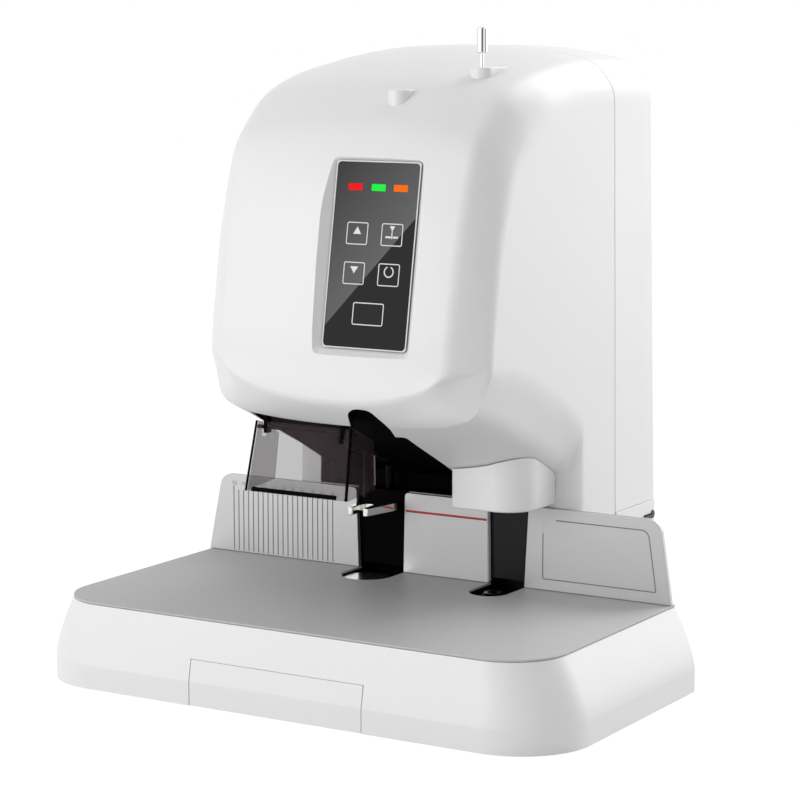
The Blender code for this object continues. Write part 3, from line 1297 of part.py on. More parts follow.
def build_frame():
    """Build the steel columns, bracket, bridge, guide rods and lift motors."""
    base = FOOT_HEIGHT + GAP * 2 + FLOOR_THICKNESS
    front = STATION_Y + COLUMN_FRONT_BEHIND
    bridge_low = head_z(BRIDGE_UP_SHARE)
    top = bridge_low + BRACKET_THICKNESS
    for name, sign in (("column_left", -1), ("column_right", 1)):
        x0, x1 = sorted((sign * COLUMN_X, sign * (COLUMN_X + COLUMN_THICKNESS)))
        box(name, (x0, front, base), (x1, front + COLUMN_WIDTH, top), ZINC_STEEL)

    half = COLUMN_X - GAP
    bracket_front = STATION_Y + BRACKET_FRONT_BEHIND
    box("lower_bracket", (-half, bracket_front, BRACKET_Z),
        (half, bracket_front + BRACKET_WIDTH, BRACKET_Z + BRACKET_THICKNESS), ZINC_STEEL)
    bridge = box("top_bridge", (-half, front, bridge_low), (half, front + COLUMN_WIDTH, top), ZINC_STEEL)

    rod_y = STATION_Y + ROD_BEHIND
    rod_low, rod_high = BRACKET_Z + BRACKET_THICKNESS + GAP, bridge_low - GAP
    rods = {
        "drill_rod_left": DRILL_X - DRILL_ROD_SPREAD,
        "drill_rod_right": DRILL_X + DRILL_ROD_SPREAD,
        "press_rod_left": RIVET_X - PRESS_ROD_SPREAD,
        "press_rod_right": RIVET_X + PRESS_ROD_SPREAD,
    }
    for name, x in rods.items():
        cylinder(name, ROD_RADIUS, rod_low, rod_high, (x, rod_y), BRIGHT_STEEL, SMALL_STEPS)

    for name, x in (("drill", DRILL_X), ("press", RIVET_X)):
        screw = cylinder(name + "_screw", SCREW_RADIUS, rod_low, top, (x, rod_y), DARK_STEEL, SMALL_STEPS)
        hang_on(axis_empty(name + "_screw_axis", (x, rod_y, bridge_low)), screw)
        hole = cylinder(name + "_screw_hole", SCREW_RADIUS + GAP, bridge_low - OVERRUN, top + OVERRUN,
                        (x, rod_y), steps=SMALL_STEPS)
        cut(bridge, hole)
        half_motor = MOTOR_SIDE / 2
        box(name + "_lift_motor", (x - half_motor, rod_y - half_motor, top + GAP),
            (x + half_motor, rod_y + half_motor, top + GAP + MOTOR_HEIGHT), DARK_STEEL, MOTOR_CHAMFER)


def belt_outline(offset):
    """Return the belt's line round both pulleys, offset outward from their rims."""
    big, small = SPINDLE_PULLEY_RADIUS + offset, MOTOR_PULLEY_RADIUS + offset
    lean = math.acos((big - small) / DRILL_MOTOR_OFFSET)
    points = []
    steps = SMALL_STEPS
    for step in range(steps + 1):
        angle = math.pi - lean - (math.pi * 2 - lean * 2) * step / steps
        points.append(Vector((DRILL_X + big * math.cos(angle), STATION_Y + big * math.sin(angle))))
    for step in range(steps + 1):
        angle = math.pi + lean - lean * 2 * step / steps
        points.append(Vector((DRILL_X - DRILL_MOTOR_OFFSET + small * math.cos(angle),
                              STATION_Y + small * math.sin(angle))))
    return points


def pulley_profile(low, radius):
    """Return the outer side of a flanged pulley, top to bottom."""
    high = low + PULLEY_HEIGHT
    flange = PULLEY_FLANGE
    rim = radius + BELT_THICKNESS + GAP * 3
    return [(rim, high), (rim, high - flange), (radius, high - flange),
            (radius, low + flange), (rim, low + flange), (rim, low)]


def build_drill():
    """Build the drill carriage with its motor, belt, spindle, bit and press foot."""
    low, high = CARRIAGE_BOTTOM, CARRIAGE_BOTTOM + CARRIAGE_HEIGHT
    rod_y = STATION_Y + ROD_BEHIND
    back_front = rod_y - CARRIAGE_BACK_DEPTH / 2
    carriage = box("drill_carriage", (DRILL_X - CARRIAGE_BACK_HALF, back_front, low),
                   (DRILL_X + CARRIAGE_BACK_HALF, rod_y + CARRIAGE_BACK_DEPTH / 2, high),
                   CAST_ALUMINIUM)
    arm = box("drill_arm", (DRILL_X - CARRIAGE_ARM_HALF, STATION_Y - CARRIAGE_ARM_FORWARD, low),
              (DRILL_X + CARRIAGE_ARM_HALF, back_front + OVERRUN, high))
    motor_x = DRILL_X - DRILL_MOTOR_OFFSET
    wing_left = motor_x - DRILL_MOTOR_RADIUS - WING_MARGIN
    wing_top = low + WING_THICKNESS
    wing = box("drill_wing", (wing_left, STATION_Y - WING_HALF_DEPTH, low),
               (DRILL_X, STATION_Y + WING_HALF_DEPTH, wing_top))
    join_solid(carriage, arm)
    join_solid(carriage, wing)
    bores = [
        cylinder("drill_nut_bore", SCREW_RADIUS + RUN_CLEARANCE, low - OVERRUN, high + OVERRUN,
                 (DRILL_X, rod_y), steps=SMALL_STEPS),
        cylinder("spindle_bore", SPINDLE_RADIUS + RUN_CLEARANCE, low - OVERRUN, high + OVERRUN,
                 (DRILL_X, STATION_Y)),
        cylinder("foot_rod_bore", FOOT_ROD_RADIUS + RUN_CLEARANCE, low - OVERRUN, high + OVERRUN,
                 (DRILL_X, STATION_Y + FOOT_ROD_BEHIND), steps=SMALL_STEPS),
    ]
    for name, sign in (("left", -1), ("right", 1)):
        bores.append(cylinder(f"drill_rod_bore_{name}", ROD_RADIUS + RUN_CLEARANCE, low - OVERRUN,
                              high + OVERRUN, (DRILL_X + sign * DRILL_ROD_SPREAD, rod_y),
                              steps=SMALL_STEPS))
    cut(carriage, *bores)

    motor_low = wing_top + GAP
    motor_high = motor_low + DRILL_MOTOR_HEIGHT
    motor = cylinder("drill_motor", DRILL_MOTOR_RADIUS, motor_low, motor_high,
                     (motor_x, STATION_Y), DARK_STEEL)
    pulley_low = motor_high + PULLEY_LIFT
    shaft = MOTOR_PULLEY_RADIUS / 3
    rims = pulley_profile(pulley_low, MOTOR_PULLEY_RADIUS)
    hub = [(shaft, pulley_low), (shaft, motor_high + GAP), (0, motor_high + GAP)]
    pulley = turned("motor_pulley", [(0, rims[0][1])] + rims + hub, (motor_x, STATION_Y), DARK_STEEL,
                    SMALL_STEPS)
    belt_low = pulley_low + PULLEY_FLANGE + GAP
    belt_high = pulley_low + PULLEY_HEIGHT - PULLEY_FLANGE - GAP
    belt = plate("drive_belt", [belt_outline(GAP + BELT_THICKNESS), belt_outline(GAP)],
                 belt_low, belt_high, RUBBER)

    rims = pulley_profile(pulley_low, SPINDLE_PULLEY_RADIUS)
    radius, nose, bore = SPINDLE_RADIUS, SPINDLE_NOSE_RADIUS, SPINDLE_BORE
    nose_low = SPINDLE_NOSE_BOTTOM
    nose_high = nose_low + SPINDLE_NOSE_HEIGHT
    profile = ([(bore, rims[0][1])] + rims
               + [(radius, pulley_low), (radius, nose_high), (nose, nose_high - nose / 4),
                  (nose, nose_low + nose / 4), (nose * 0.75, nose_low), (bore, nose_low)])
    spindle = turned("drill_spindle", profile, (DRILL_X, STATION_Y), ZINC_STEEL)
    bit_top = nose_low - GAP
    tip, edge = BIT_TIP_Z, BIT_EDGE
    bit = turned("hollow_drill_bit",
                 [(BIT_RADIUS, bit_top), (BIT_RADIUS, tip + edge), (BIT_BORE + edge, tip),
                  (BIT_BORE, tip + edge), (BIT_BORE, bit_top)],
                 (DRILL_X, STATION_Y), BRIGHT_STEEL, SMALL_STEPS)
    hang_on(axis_empty("drill_lift", (DRILL_X, rod_y, low)), carriage, motor, belt)
    hang_on(axis_empty("spindle_axis", (DRILL_X, STATION_Y, low)), spindle, bit)
    hang_on(axis_empty("motor_pulley_axis", (motor_x, STATION_Y, pulley_low)), pulley)
    build_foot()


def build_foot():
    """Build the forked foot that holds the paper down round the bit, with its rod."""
    outer = FORK_SLOT_HALF + FORK_PRONG
    front = STATION_Y - FORK_FORWARD
    waist = STATION_Y + FORK_WAIST_BEHIND
    shoulder = STATION_Y + FORK_SHOULDER_BEHIND
    rear = STATION_Y + FORK_REAR_BEHIND
    rear_half = FORK_REAR_HALF
    round_off = FORK_ROUND
    slot_round = FORK_SLOT_HALF * FORK_SLOT_ROUND_SHARE
    outline = rounded_outline([
        (DRILL_X - outer, front, round_off), (DRILL_X - FORK_SLOT_HALF, front, round_off),
        (DRILL_X - FORK_SLOT_HALF, waist, slot_round),
        (DRILL_X + FORK_SLOT_HALF, waist, slot_round),
        (DRILL_X + FORK_SLOT_HALF, front, round_off), (DRILL_X + outer, front, round_off),
        (DRILL_X + rear_half, shoulder, 0), (DRILL_X + rear_half, rear, round_off),
        (DRILL_X - rear_half, rear, round_off), (DRILL_X - rear_half, shoulder, 0)], 4)
    foot = plate("press_foot", outline, FOOT_BOTTOM, FOOT_BOTTOM + FORK_THICKNESS, BRIGHT_STEEL)
    rod = cylinder("foot_rod", FOOT_ROD_RADIUS, FOOT_BOTTOM + FORK_THICKNESS / 2, FOOT_ROD_TOP,
                   (DRILL_X, STATION_Y + FOOT_ROD_BEHIND), steps=SMALL_STEPS)
    join_solid(foot, rod)
    hang_on(axis_empty("foot_slide", (DRILL_X, STATION_Y, FOOT_BOTTOM)), foot)


def build_press():
    """Build the rivet press carriage and its hot upper die."""
    low, high = PRESS_BOTTOM, PRESS_BOTTOM + PRESS_HEIGHT
    rod_y = STATION_Y + ROD_BEHIND
    back_front = rod_y - CARRIAGE_BACK_DEPTH / 2
    carriage = box("press_carriage", (RIVET_X - PRESS_BACK_HALF, back_front, low),
                   (RIVET_X + PRESS_BACK_HALF, rod_y + CARRIAGE_BACK_DEPTH / 2, high), CAST_ALUMINIUM)
    arm = box("press_arm", (RIVET_X - PRESS_ARM_HALF, STATION_Y - PRESS_ARM_FORWARD, low),
              (RIVET_X + PRESS_ARM_HALF, back_front + OVERRUN, high))
    join_solid(carriage, arm)
    bores = [cylinder("press_nut_bore", SCREW_RADIUS + RUN_CLEARANCE, low - OVERRUN, high + OVERRUN,
                      (RIVET_X, rod_y), steps=SMALL_STEPS)]
    for name, sign in (("left", -1), ("right", 1)):
        bores.append(cylinder(f"press_rod_bore_{name}", ROD_RADIUS + RUN_CLEARANCE, low - OVERRUN,
                              high + OVERRUN, (RIVET_X + sign * PRESS_ROD_SPREAD, rod_y),
                              steps=SMALL_STEPS))
    cut(carriage, *bores)
    top = low - GAP
    tip = UPPER_DIE_TIP_Z
    shoulder = tip + UPPER_DIE_HEIGHT
    radius = UPPER_DIE_RADIUS
    die = turned("upper_rivet_die",
                 [(0, top), (PRESS_ROD_RADIUS, top), (PRESS_ROD_RADIUS, shoulder),
                  (radius, shoulder - radius / 5), (radius, tip + radius / 2),
                  (UPPER_DIE_TIP_RADIUS, tip), (0, tip)],
                 (RIVET_X, STATION_Y), BRIGHT_STEEL)
    hang_on(axis_empty("press_lift", (RIVET_X, rod_y, low)), carriage, die)


def main():
    """Build the whole machine."""
    clear_scene()
    build_base()
    build_wells()
    build_fence()
    build_drawer()
    build_front_shell()
    build_rear_covers()
    build_panel()
    build_needle()
    build_roof()
    build_guard()
    build_press_cover()
    build_frame()
    build_drill()
    build_press()


main()
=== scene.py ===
"""Look of the riveting machine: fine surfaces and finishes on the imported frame.

Every length is in metres in the frame of the CAD model: +Z up, the front faces -Y,
and the origin is on the ground under the middle of the machine.
"""
import logging
import math
from dataclasses import dataclass
from enum import Enum
from typing import Callable, Sequence

import bmesh
import bpy
import numpy as np
from mathutils import Matrix, Vector


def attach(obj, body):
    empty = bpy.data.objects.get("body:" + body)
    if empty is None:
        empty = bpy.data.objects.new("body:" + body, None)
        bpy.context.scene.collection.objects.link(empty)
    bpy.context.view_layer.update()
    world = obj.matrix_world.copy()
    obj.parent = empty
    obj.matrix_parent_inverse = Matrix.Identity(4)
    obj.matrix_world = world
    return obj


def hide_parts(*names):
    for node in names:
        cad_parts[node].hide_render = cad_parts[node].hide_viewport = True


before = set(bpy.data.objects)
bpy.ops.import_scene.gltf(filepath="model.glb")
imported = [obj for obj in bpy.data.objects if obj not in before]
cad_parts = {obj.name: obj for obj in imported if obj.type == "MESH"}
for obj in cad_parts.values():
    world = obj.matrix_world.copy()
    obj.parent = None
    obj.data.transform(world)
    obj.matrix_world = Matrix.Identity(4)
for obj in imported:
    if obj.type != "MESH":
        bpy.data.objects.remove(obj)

LOG = logging.getLogger("riveting_machine")
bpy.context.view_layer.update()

Colour = tuple[float, float, float]
Grid = np.ndarray


# Shader maths

class Signal:
    """A number socket that takes part in Python sums."""

    def __init__(self, bench: "Bench", socket: bpy.types.NodeSocket) -> None:
        """Wrap an output socket of a bench's material."""
        self.bench = bench
        self.socket = socket

    def __add__(self, other: "Signal | float") -> "Signal":
        """Add."""
        return self.bench.maths("ADD", self, other)

    def __radd__(self, other: float) -> "Signal":
        """Add to a plain number."""
        return self.bench.maths("ADD", other, self)

    def __sub__(self, other: "Signal | float") -> "Signal":
        """Take away."""
        return self.bench.maths("SUBTRACT", self, other)

    def __rsub__(self, other: float) -> "Signal":
        """Take away from a plain number."""
        return self.bench.maths("SUBTRACT", other, self)

    def __mul__(self, other: "Signal | float") -> "Signal":
        """Multiply."""
        return self.bench.maths("MULTIPLY", self, other)

    def __rmul__(self, other: float) -> "Signal":
        """Multiply a plain number."""
        return self.bench.maths("MULTIPLY", other, self)

    def __gt__(self, other: "Signal | float") -> "Signal":
        """Give 1 where this is the greater and 0 elsewhere."""
        return self.bench.maths("GREATER_THAN", self, other)

    def __lt__(self, other: "Signal | float") -> "Signal":
        """Give 1 where this is the smaller and 0 elsewhere."""
        return self.bench.maths("LESS_THAN", self, other)


class Bench:
    """The node tree of one material with its Principled shader, or of a world."""

    def __init__(self, name: str, world: bool = False) -> None:
        """Start a material, or a world with its Background, wired to its output."""
        self.material = (bpy.data.worlds if world else bpy.data.materials).new(name)
        self.material.use_nodes = True
        self.tree = self.material.node_tree
        self.shader = self.tree.nodes["Background" if world else "Principled BSDF"]

    def node(self, kind: str, settings: dict | None = None, **sockets: object) -> bpy.types.Node:
        """Add one node of any type.

        Args:
            kind: the node's type name.
            settings: attributes that are set first, such as an operation.
            sockets: values or links, by socket identifier with spaces as underscores.

        Returns:
            The new node.
        """
        made = self.tree.nodes.new(kind)
        for key, value in (settings or {}).items():
            setattr(made, key, value)
        for key, value in sockets.items():
            socket = next(s for s in made.inputs if key in (s.identifier, s.name.replace(" ", "_")))
            self.feed(socket, value)
        return made

    def feed(self, socket: bpy.types.NodeSocket, value: object) -> None:
        """Set a socket's value, or link it when the value is a socket or a signal."""
        if isinstance(value, Signal):
            value = value.socket
        if isinstance(value, bpy.types.NodeSocket):
            self.tree.links.new(value, socket)
        elif isinstance(value, tuple) and len(value) == 3 and socket.type == "RGBA":
            socket.default_value = (*value, 1.0)
        else:
            socket.default_value = value

    def maths(self, operation: str, *values: "Signal | float") -> Signal:
        """Add a Math node.

        Args:
            operation: the node's operation.
            values: its inputs in order.

        Returns:
            The result.
        """
        made = self.node("ShaderNodeMath", {"operation": operation})
        for socket, value in zip(made.inputs, values):
            self.feed(socket, value)
        return Signal(self, made.outputs[0])

    def place(self) -> bpy.types.NodeSocket:
        """Return the object coordinates, in metres."""
        return self.node("ShaderNodeTexCoord").outputs["Object"]

    def axis(self, letter: str) -> Signal:
        """Return one of the object coordinates."""
        split = self.node("ShaderNodeSeparateXYZ", Vector=self.place())
        return Signal(self, split.outputs[letter])

    def stretched(self, scale: Sequence[float]) -> bpy.types.NodeSocket:
        """Return object coordinates multiplied by a scale for each axis."""
        return self.node("ShaderNodeMapping", Vector=self.place(), Scale=tuple(scale)).outputs["Vector"]

    def noise(self, scale: float, detail: float = 2.0,
              stretch: Sequence[float] = (1, 1, 1)) -> Signal:
        """Return a noise from 0 to 1.

        Args:
            scale: waves to a metre.
            detail: octaves of finer noise.
            stretch: multiplier of each axis, below 1 for streaks along it.

        Returns:
            The noise's value.
        """
        made = self.node("ShaderNodeTexNoise", Vector=self.stretched(stretch), Scale=scale,
                         Detail=detail)
        return Signal(self, made.outputs[0])

    def blend(self, factor: "Signal | float", low: object, high: object) -> bpy.types.NodeSocket:
        """Mix two colours.

        Args:
            factor: 0 for the first colour, 1 for the second.
            low: the first colour.
            high: the second colour.

        Returns:
            The mixed colour's socket.
        """
        made = self.node("ShaderNodeMix", {"data_type": "RGBA"}, Factor_Float=factor,
                         A_Color=low, B_Color=high)
        return next(s for s in made.outputs if s.identifier == "Result_Color")

    def ray(self, kind: str) -> Signal:
        """Return 1 for one kind of ray and 0 for the rest."""
        return Signal(self, self.node("ShaderNodeLightPath").outputs[f"Is {kind} Ray"])

    def fit(self, value: Signal, low: float, high: float, start: float = 0.0,
            end: float = 1.0) -> Signal:
        """Map a value from one range to another, held at both ends.

        Args:
            value: the value.
            low: where the first range starts.
            high: where the first range ends.
            start: what low becomes.
            end: what high becomes.

        Returns:
            The mapped value.
        """
        made = self.node("ShaderNodeMapRange", Value=value, From_Min=low, From_Max=high,
                         To_Min=start, To_Max=end)
        return Signal(self, made.outputs[0])

    def relief(self, height: Signal, depth: float, strength: float = 1.0) -> None:
        """Feed the shader's normal from a height of 0 to 1 over a depth in metres."""
        made = self.node("ShaderNodeBump", Strength=strength, Distance=depth, Height=height)
        self.tree.links.new(made.outputs["Normal"], self.shader.inputs["Normal"])

    def give(self, **sockets: object) -> None:
        """Set or link the shader's own sockets, by name with spaces as underscores."""
        for key, value in sockets.items():
            self.feed(self.shader.inputs[key.replace("_", " ")], value)


def shade(colour: Colour, share: float) -> Colour:
    """Return a colour multiplied by a share, held at 1."""
    return tuple(min(1.0, part * share) for part in colour)


# Finishes

@dataclass(frozen=True)
class Finish:
    """A surface finish: a colour, a roughness, and the grain that the maker leaves.

    The colour drifts by mottle over about a decimetre, the roughness by drift over the
    grain, and the grain stands relief metres high, with grain waves to a metre.
    """

    name: str
    colour: Colour
    roughness: float
    metallic: float = 0.0
    mottle: float = 0.03
    drift: float = 0.06
    grain: float = 1500.0
    relief: float = 0.00002

    def material(self) -> bpy.types.Material:
        """Return the finish's material, made the first time it is asked for."""
        found = bpy.data.materials.get(self.name)
        if found is not None:
            return found
        bench = Bench(self.name)
        bench.give(Metallic=self.metallic)
        self.dress(bench)
        return bench.material

    def tinted(self, bench: Bench, factor: Signal) -> bpy.types.NodeSocket:
        """Return the colour, from darker to paler by the mottle as a factor goes from 0 to 1."""
        return bench.blend(factor, shade(self.colour, 1 - self.mottle), shade(self.colour, 1 + self.mottle))

    def dress(self, bench: Bench) -> None:
        """Colour drifts slowly, and roughness and height follow the fine grain."""
        cloud = bench.noise(9.0, 3.0)
        grain = bench.noise(self.grain, 3.0)
        tone = self.tinted(bench, cloud)
        bench.give(Base_Color=tone, Roughness=self.roughness + self.drift * (grain - 0.5))
        bench.relief(grain, self.relief)


@dataclass(frozen=True)
class MouldedPlastic(Finish):
    """Moulded plastic with a spark-eroded texture and a slightly shinier skin in patches."""

    specular: float = 0.5

    def dress(self, bench: Bench) -> None:
        """Two sizes of grain add up, and handling polishes broad patches."""
        cloud = bench.noise(6.0, 2.0)
        fine = bench.noise(self.grain, 2.0)
        broad = bench.noise(self.grain / 6, 2.0)
        polish = bench.noise(22.0, 3.0)
        tone = bench.blend(cloud, shade(self.colour, 1 - self.mottle), self.colour)
        rough = self.roughness + self.drift * (fine - 0.5) + self.drift * (polish - 0.5)
        bench.give(Base_Color=tone, Roughness=rough, Specular_IOR_Level=self.specular)
        bench.relief(fine * 0.7 + broad * 0.3, self.relief)


@dataclass(frozen=True)
class BrushedSheet(Finish):
    """Sheet metal brushed along one axis, with long fine streaks."""

    streak: tuple[float, float, float] = (0.03, 1.0, 1.0)

    def dress(self, bench: Bench) -> None:
        """Streaks shift the tone, the roughness and the height together."""
        streaks = bench.noise(self.grain, 3.0, self.streak)
        cloud = bench.noise(7.0, 2.0)
        both = streaks * 0.7 + cloud * 0.3
        tone = self.tinted(bench, both)
        bench.give(Base_Color=tone, Roughness=self.roughness + self.drift * (streaks - 0.5))
        bench.relief(streaks, self.relief)


@dataclass(frozen=True)
class PaintedSheet(Finish):
    """Painted sheet with a leather-like pebble and tiny darker specks."""

    def dress(self, bench: Bench) -> None:
        """Cells give the pebble, and a cut of fine noise gives the specks."""
        cells = bench.node("ShaderNodeTexVoronoi", Vector=bench.place(), Scale=self.grain)
        pebble = Signal(bench, cells.outputs["Distance"])
        speck = bench.fit(bench.noise(self.grain * 1.7, 1.0), 0.60, 0.72)
        cloud = bench.noise(5.0, 3.0)
        base = self.tinted(bench, cloud)
        tone = bench.blend(speck * 0.35, base, shade(self.colour, 0.75))
        bench.give(Base_Color=tone, Roughness=self.roughness + self.drift * (pebble - 0.4))
        bench.relief(pebble, self.relief)


@dataclass(frozen=True)
class TurnedSteel(Finish):
    """Bright metal with the faint rings of turning and polishing."""

    def dress(self, bench: Bench) -> None:
        """Rings are streaks that stay level, and a soft cloud dulls the shine in places."""
        rings = bench.noise(self.grain, 2.0, (0.02, 0.02, 1.0))
        cloud = bench.noise(60.0, 2.0)
        tone = self.tinted(bench, cloud)
        bench.give(Base_Color=tone, Roughness=self.roughness + self.drift * (cloud - 0.5))
        bench.relief(rings, self.relief)


@dataclass(frozen=True)
class SmokedSheet(Finish):
    """Smoked clear sheet: dark, glossy, and thin enough to see through."""

    alpha: float = 0.31

    def dress(self, bench: Bench) -> None:
        """The tint is a little uneven, as cast sheet is, and the gloss has faint dust."""
        cloud = bench.noise(12.0, 2.0)
        dust = bench.fit(bench.noise(900.0, 2.0), 0.62, 0.75)
        tone = self.tinted(bench, cloud)
        bench.give(Base_Color=tone, Roughness=self.roughness + self.drift * dust,
                   Alpha=self.alpha + 0.03 * (cloud - 0.5), Specular_IOR_Level=0.03)


@dataclass(frozen=True)
class GlossFilm(Finish):
    """Glossy film over a dark panel, with a painted reflection: a paler colour above a slanting line."""

    # Colour of the painted reflection, and the foot and slope of the line under it.
    sheen: Colour = (0.13, 0.13, 0.135)
    foot: tuple[float, float] = (-0.0076, 0.2791)
    slope: float = 1.1517

    def dress(self, bench: Bench) -> None:
        """Height above the line decides where the painted reflection lies, and it fades away from the line.
        """
        ripple = bench.noise(40.0, 2.0)
        ink = bench.noise(self.grain, 1.0)
        # Painted reflection: the paler colour above a slanting line across the panel and keys stands in for a
        # reflection in the film.
        above = bench.axis("Z") - self.foot[1] - (bench.axis("X") - self.foot[0]) * self.slope
        painted_reflection_mask = bench.fit(above, -0.0002, 0.0002) * bench.fit(above, 0.0, 0.13, 0.95, 0.12)
        dark = self.tinted(bench, ink)
        bench.give(Base_Color=bench.blend(painted_reflection_mask, dark, self.sheen), Specular_IOR_Level=0.04,
                   Roughness=self.roughness + self.drift * (ripple - 0.5))
        bench.relief(ripple, self.relief)


@dataclass(frozen=True)
class GlowingWindow(Finish):
    """A small lit window: brighter in the middle, with the diffuser's fine prisms."""

    strength: float = 1.0

    def dress(self, bench: Bench) -> None:
        """Emission follows the diffuser's cells."""
        prisms = bench.noise(self.grain, 1.0)
        tone = bench.blend(prisms, shade(self.colour, 0.92), self.colour)
        bench.give(Base_Color=shade(self.colour, 0.12), Roughness=self.roughness,
                   Specular_IOR_Level=0.02, Emission_Color=tone, Emission_Strength=self.strength)
        bench.relief(prisms, self.relief)


@dataclass(frozen=True)
class CircuitBoard(Finish):
    """Green board with copper tracks under the lacquer."""

    track: Colour = (0.10, 0.30, 0.10)

    def dress(self, bench: Bench) -> None:
        """Tracks are bands cut from cells that are stretched along the board."""
        cells = bench.node("ShaderNodeTexVoronoi", {"distance": "MANHATTAN", "feature": "F1"},
                           Vector=bench.place(), Scale=160.0)
        edge = Signal(bench, cells.outputs["Distance"])
        mask = (edge > 0.30) * (edge < 0.38)
        bench.give(Base_Color=bench.blend(mask, self.colour, self.track), Roughness=self.roughness)
        bench.relief(mask, self.relief)


@dataclass(frozen=True)
class WoundTape(Finish):
    """Yellow tape wound in level turns."""

    def dress(self, bench: Bench) -> None:
        """A wave up the height gives the overlap of the turns."""
        turns = bench.node("ShaderNodeTexWave", {"bands_direction": "Z"}, Vector=bench.place(),
                           Scale=55.0, Distortion=0.4)
        band = Signal(bench, turns.outputs[1])
        tone = bench.blend(band, shade(self.colour, 0.8), self.colour)
        bench.give(Base_Color=tone, Roughness=self.roughness)
        bench.relief(band, self.relief)


WHITE_SHELL = MouldedPlastic("white_moulded_shell", (0.80, 0.80, 0.80), 0.42, mottle=0.012,
                             grain=1400.0, relief=0.000012)
BLACK_GLOSS = MouldedPlastic("black_liner_plastic", (0.006, 0.006, 0.007), 0.30, mottle=0.1,
                             drift=0.05, grain=700.0, relief=0.000015, specular=0.18)
BLACK_SATIN = MouldedPlastic("black_fitting_plastic", (0.016, 0.016, 0.017), 0.40, mottle=0.1,
                             grain=1600.0, relief=0.00003)
LINING = MouldedPlastic("black_lining_plastic", (0.0015, 0.0015, 0.0015), 0.60, mottle=0.1,
                        grain=900.0, relief=0.00002, specular=0.02)
RUBBER = Finish("foot_rubber_black", (0.018, 0.018, 0.018), 0.85, grain=900.0, relief=0.00008)
TABLE_PAINT = PaintedSheet("grey_table_paint", (0.49, 0.49, 0.49), 0.50, 0.0, mottle=0.03,
                           drift=0.12, grain=1500.0, relief=0.00003)
FENCE_METAL = BrushedSheet("silver_fence_sheet", (0.43, 0.43, 0.43), 0.42, 0.75, mottle=0.05,
                           drift=0.10, grain=1800.0, relief=0.000012)
ZINC = BrushedSheet("zinc_plated_sheet", (0.52, 0.53, 0.55), 0.40, 0.9, mottle=0.10, drift=0.15,
                    grain=500.0, relief=0.00001, streak=(0.2, 1.0, 1.0))
CHROME = TurnedSteel("polished_chrome", (0.80, 0.79, 0.77), 0.10, 1.0, mottle=0.03, drift=0.05,
                     grain=3000.0, relief=0.000004)
BRIGHT_STEEL = TurnedSteel("bright_turned_steel", (0.74, 0.74, 0.73), 0.22, 1.0, mottle=0.05,
                           drift=0.10, grain=2500.0, relief=0.00001)
GROUND_STEEL = TurnedSteel("ground_rod_steel", (0.62, 0.62, 0.63), 0.18, 1.0, grain=4000.0,
                           relief=0.000006)
SCREW_STEEL = TurnedSteel("oiled_screw_steel", (0.30, 0.30, 0.31), 0.32, 1.0, mottle=0.15,
                          drift=0.12, grain=1500.0, relief=0.00001)
# Near-black steel: painted shade for the spindle, bit, upper die and fork rod deep in the shade behind the
# guard and under the head; the guard pin and lower die share it.
DARK_STEEL_AND_SHADE = TurnedSteel("blackened_tool_steel", (0.005, 0.005, 0.005), 0.34, 1.0, mottle=0.12,
                         drift=0.10, grain=1800.0, relief=0.000008)
CAST = Finish("cast_aluminium", (0.50, 0.51, 0.52), 0.52, 0.9, mottle=0.06, drift=0.15,
              grain=700.0, relief=0.00012)
MOTOR_PAINT = Finish("dark_motor_paint", (0.045, 0.046, 0.05), 0.45, 0.3, grain=900.0, relief=0.00004)
BELT = Finish("belt_rubber_black", (0.015, 0.015, 0.015), 0.75, grain=1200.0, relief=0.00006)
# Both films carry the painted reflection of GlossFilm.
PANEL = GlossFilm("dark_panel_film", (0.016, 0.016, 0.018), 0.12, mottle=0.08, drift=0.03,
                  grain=2500.0, relief=0.00001)
KEY_FILM = GlossFilm("dark_key_film", (0.018, 0.018, 0.020), 0.16, mottle=0.08, drift=0.03,
                     grain=2500.0, relief=0.00001)
KEY_INK = Finish("white_key_ink", (0.72, 0.72, 0.72), 0.45, grain=2500.0, relief=0.00001)
SCALE_INK = Finish("grey_scale_ink", (0.13, 0.13, 0.13), 0.55, grain=2500.0, relief=0.00001)
RED_INK = Finish("red_line_ink", (0.48, 0.015, 0.015), 0.50, grain=2500.0, relief=0.00001)
# Painted highlight: pale pink for the light caught in the guard sheet's rear edge.
GUARD_EDGE_HIGHLIGHT = Finish("pink_guard_edge", (0.42, 0.29, 0.31), 0.35, grain=2000.0, relief=0.00001)
# Pale colour for the panel's rim, and a painted highlight on the fence's notch edge.
PALE_RIM_AND_HIGHLIGHT = PaintedSheet("pale_return_paint", (0.66, 0.66, 0.66), 0.45, 0.0, mottle=0.02,
                            drift=0.08, grain=1500.0, relief=0.00001)
SMOKE = SmokedSheet("smoked_guard_sheet", (0.070, 0.052, 0.055), 0.06, mottle=0.06, drift=0.05)
BOARD = CircuitBoard("green_circuit_board", (0.012, 0.12, 0.05), 0.35, relief=0.00004)
TAPE = WoundTape("yellow_winding_tape", (0.60, 0.42, 0.06), 0.40, relief=0.0001)
LAMP_FINISHES = {
    "power_light": GlowingWindow("red_window", (0.90, 0.010, 0.010), 0.3, strength=0.9),
    "heat_light": GlowingWindow("green_window", (0.010, 0.95, 0.06), 0.3, strength=0.9),
    "fault_light": GlowingWindow("orange_window", (1.0, 0.16, 0.005), 0.3, strength=0.9),
}
LAMP_SLOTS = {"power_light": "light_red", "heat_light": "light_green", "fault_light": "light_orange"}


# Surfaces worked out as whole arrays

class Plane(Enum):
    """The plane that an outline is drawn in, with the axis it is carried along."""

    LEVEL = (0, 1, 2)
    FRONT = (0, 2, 1)
    SIDE = (1, 2, 0)


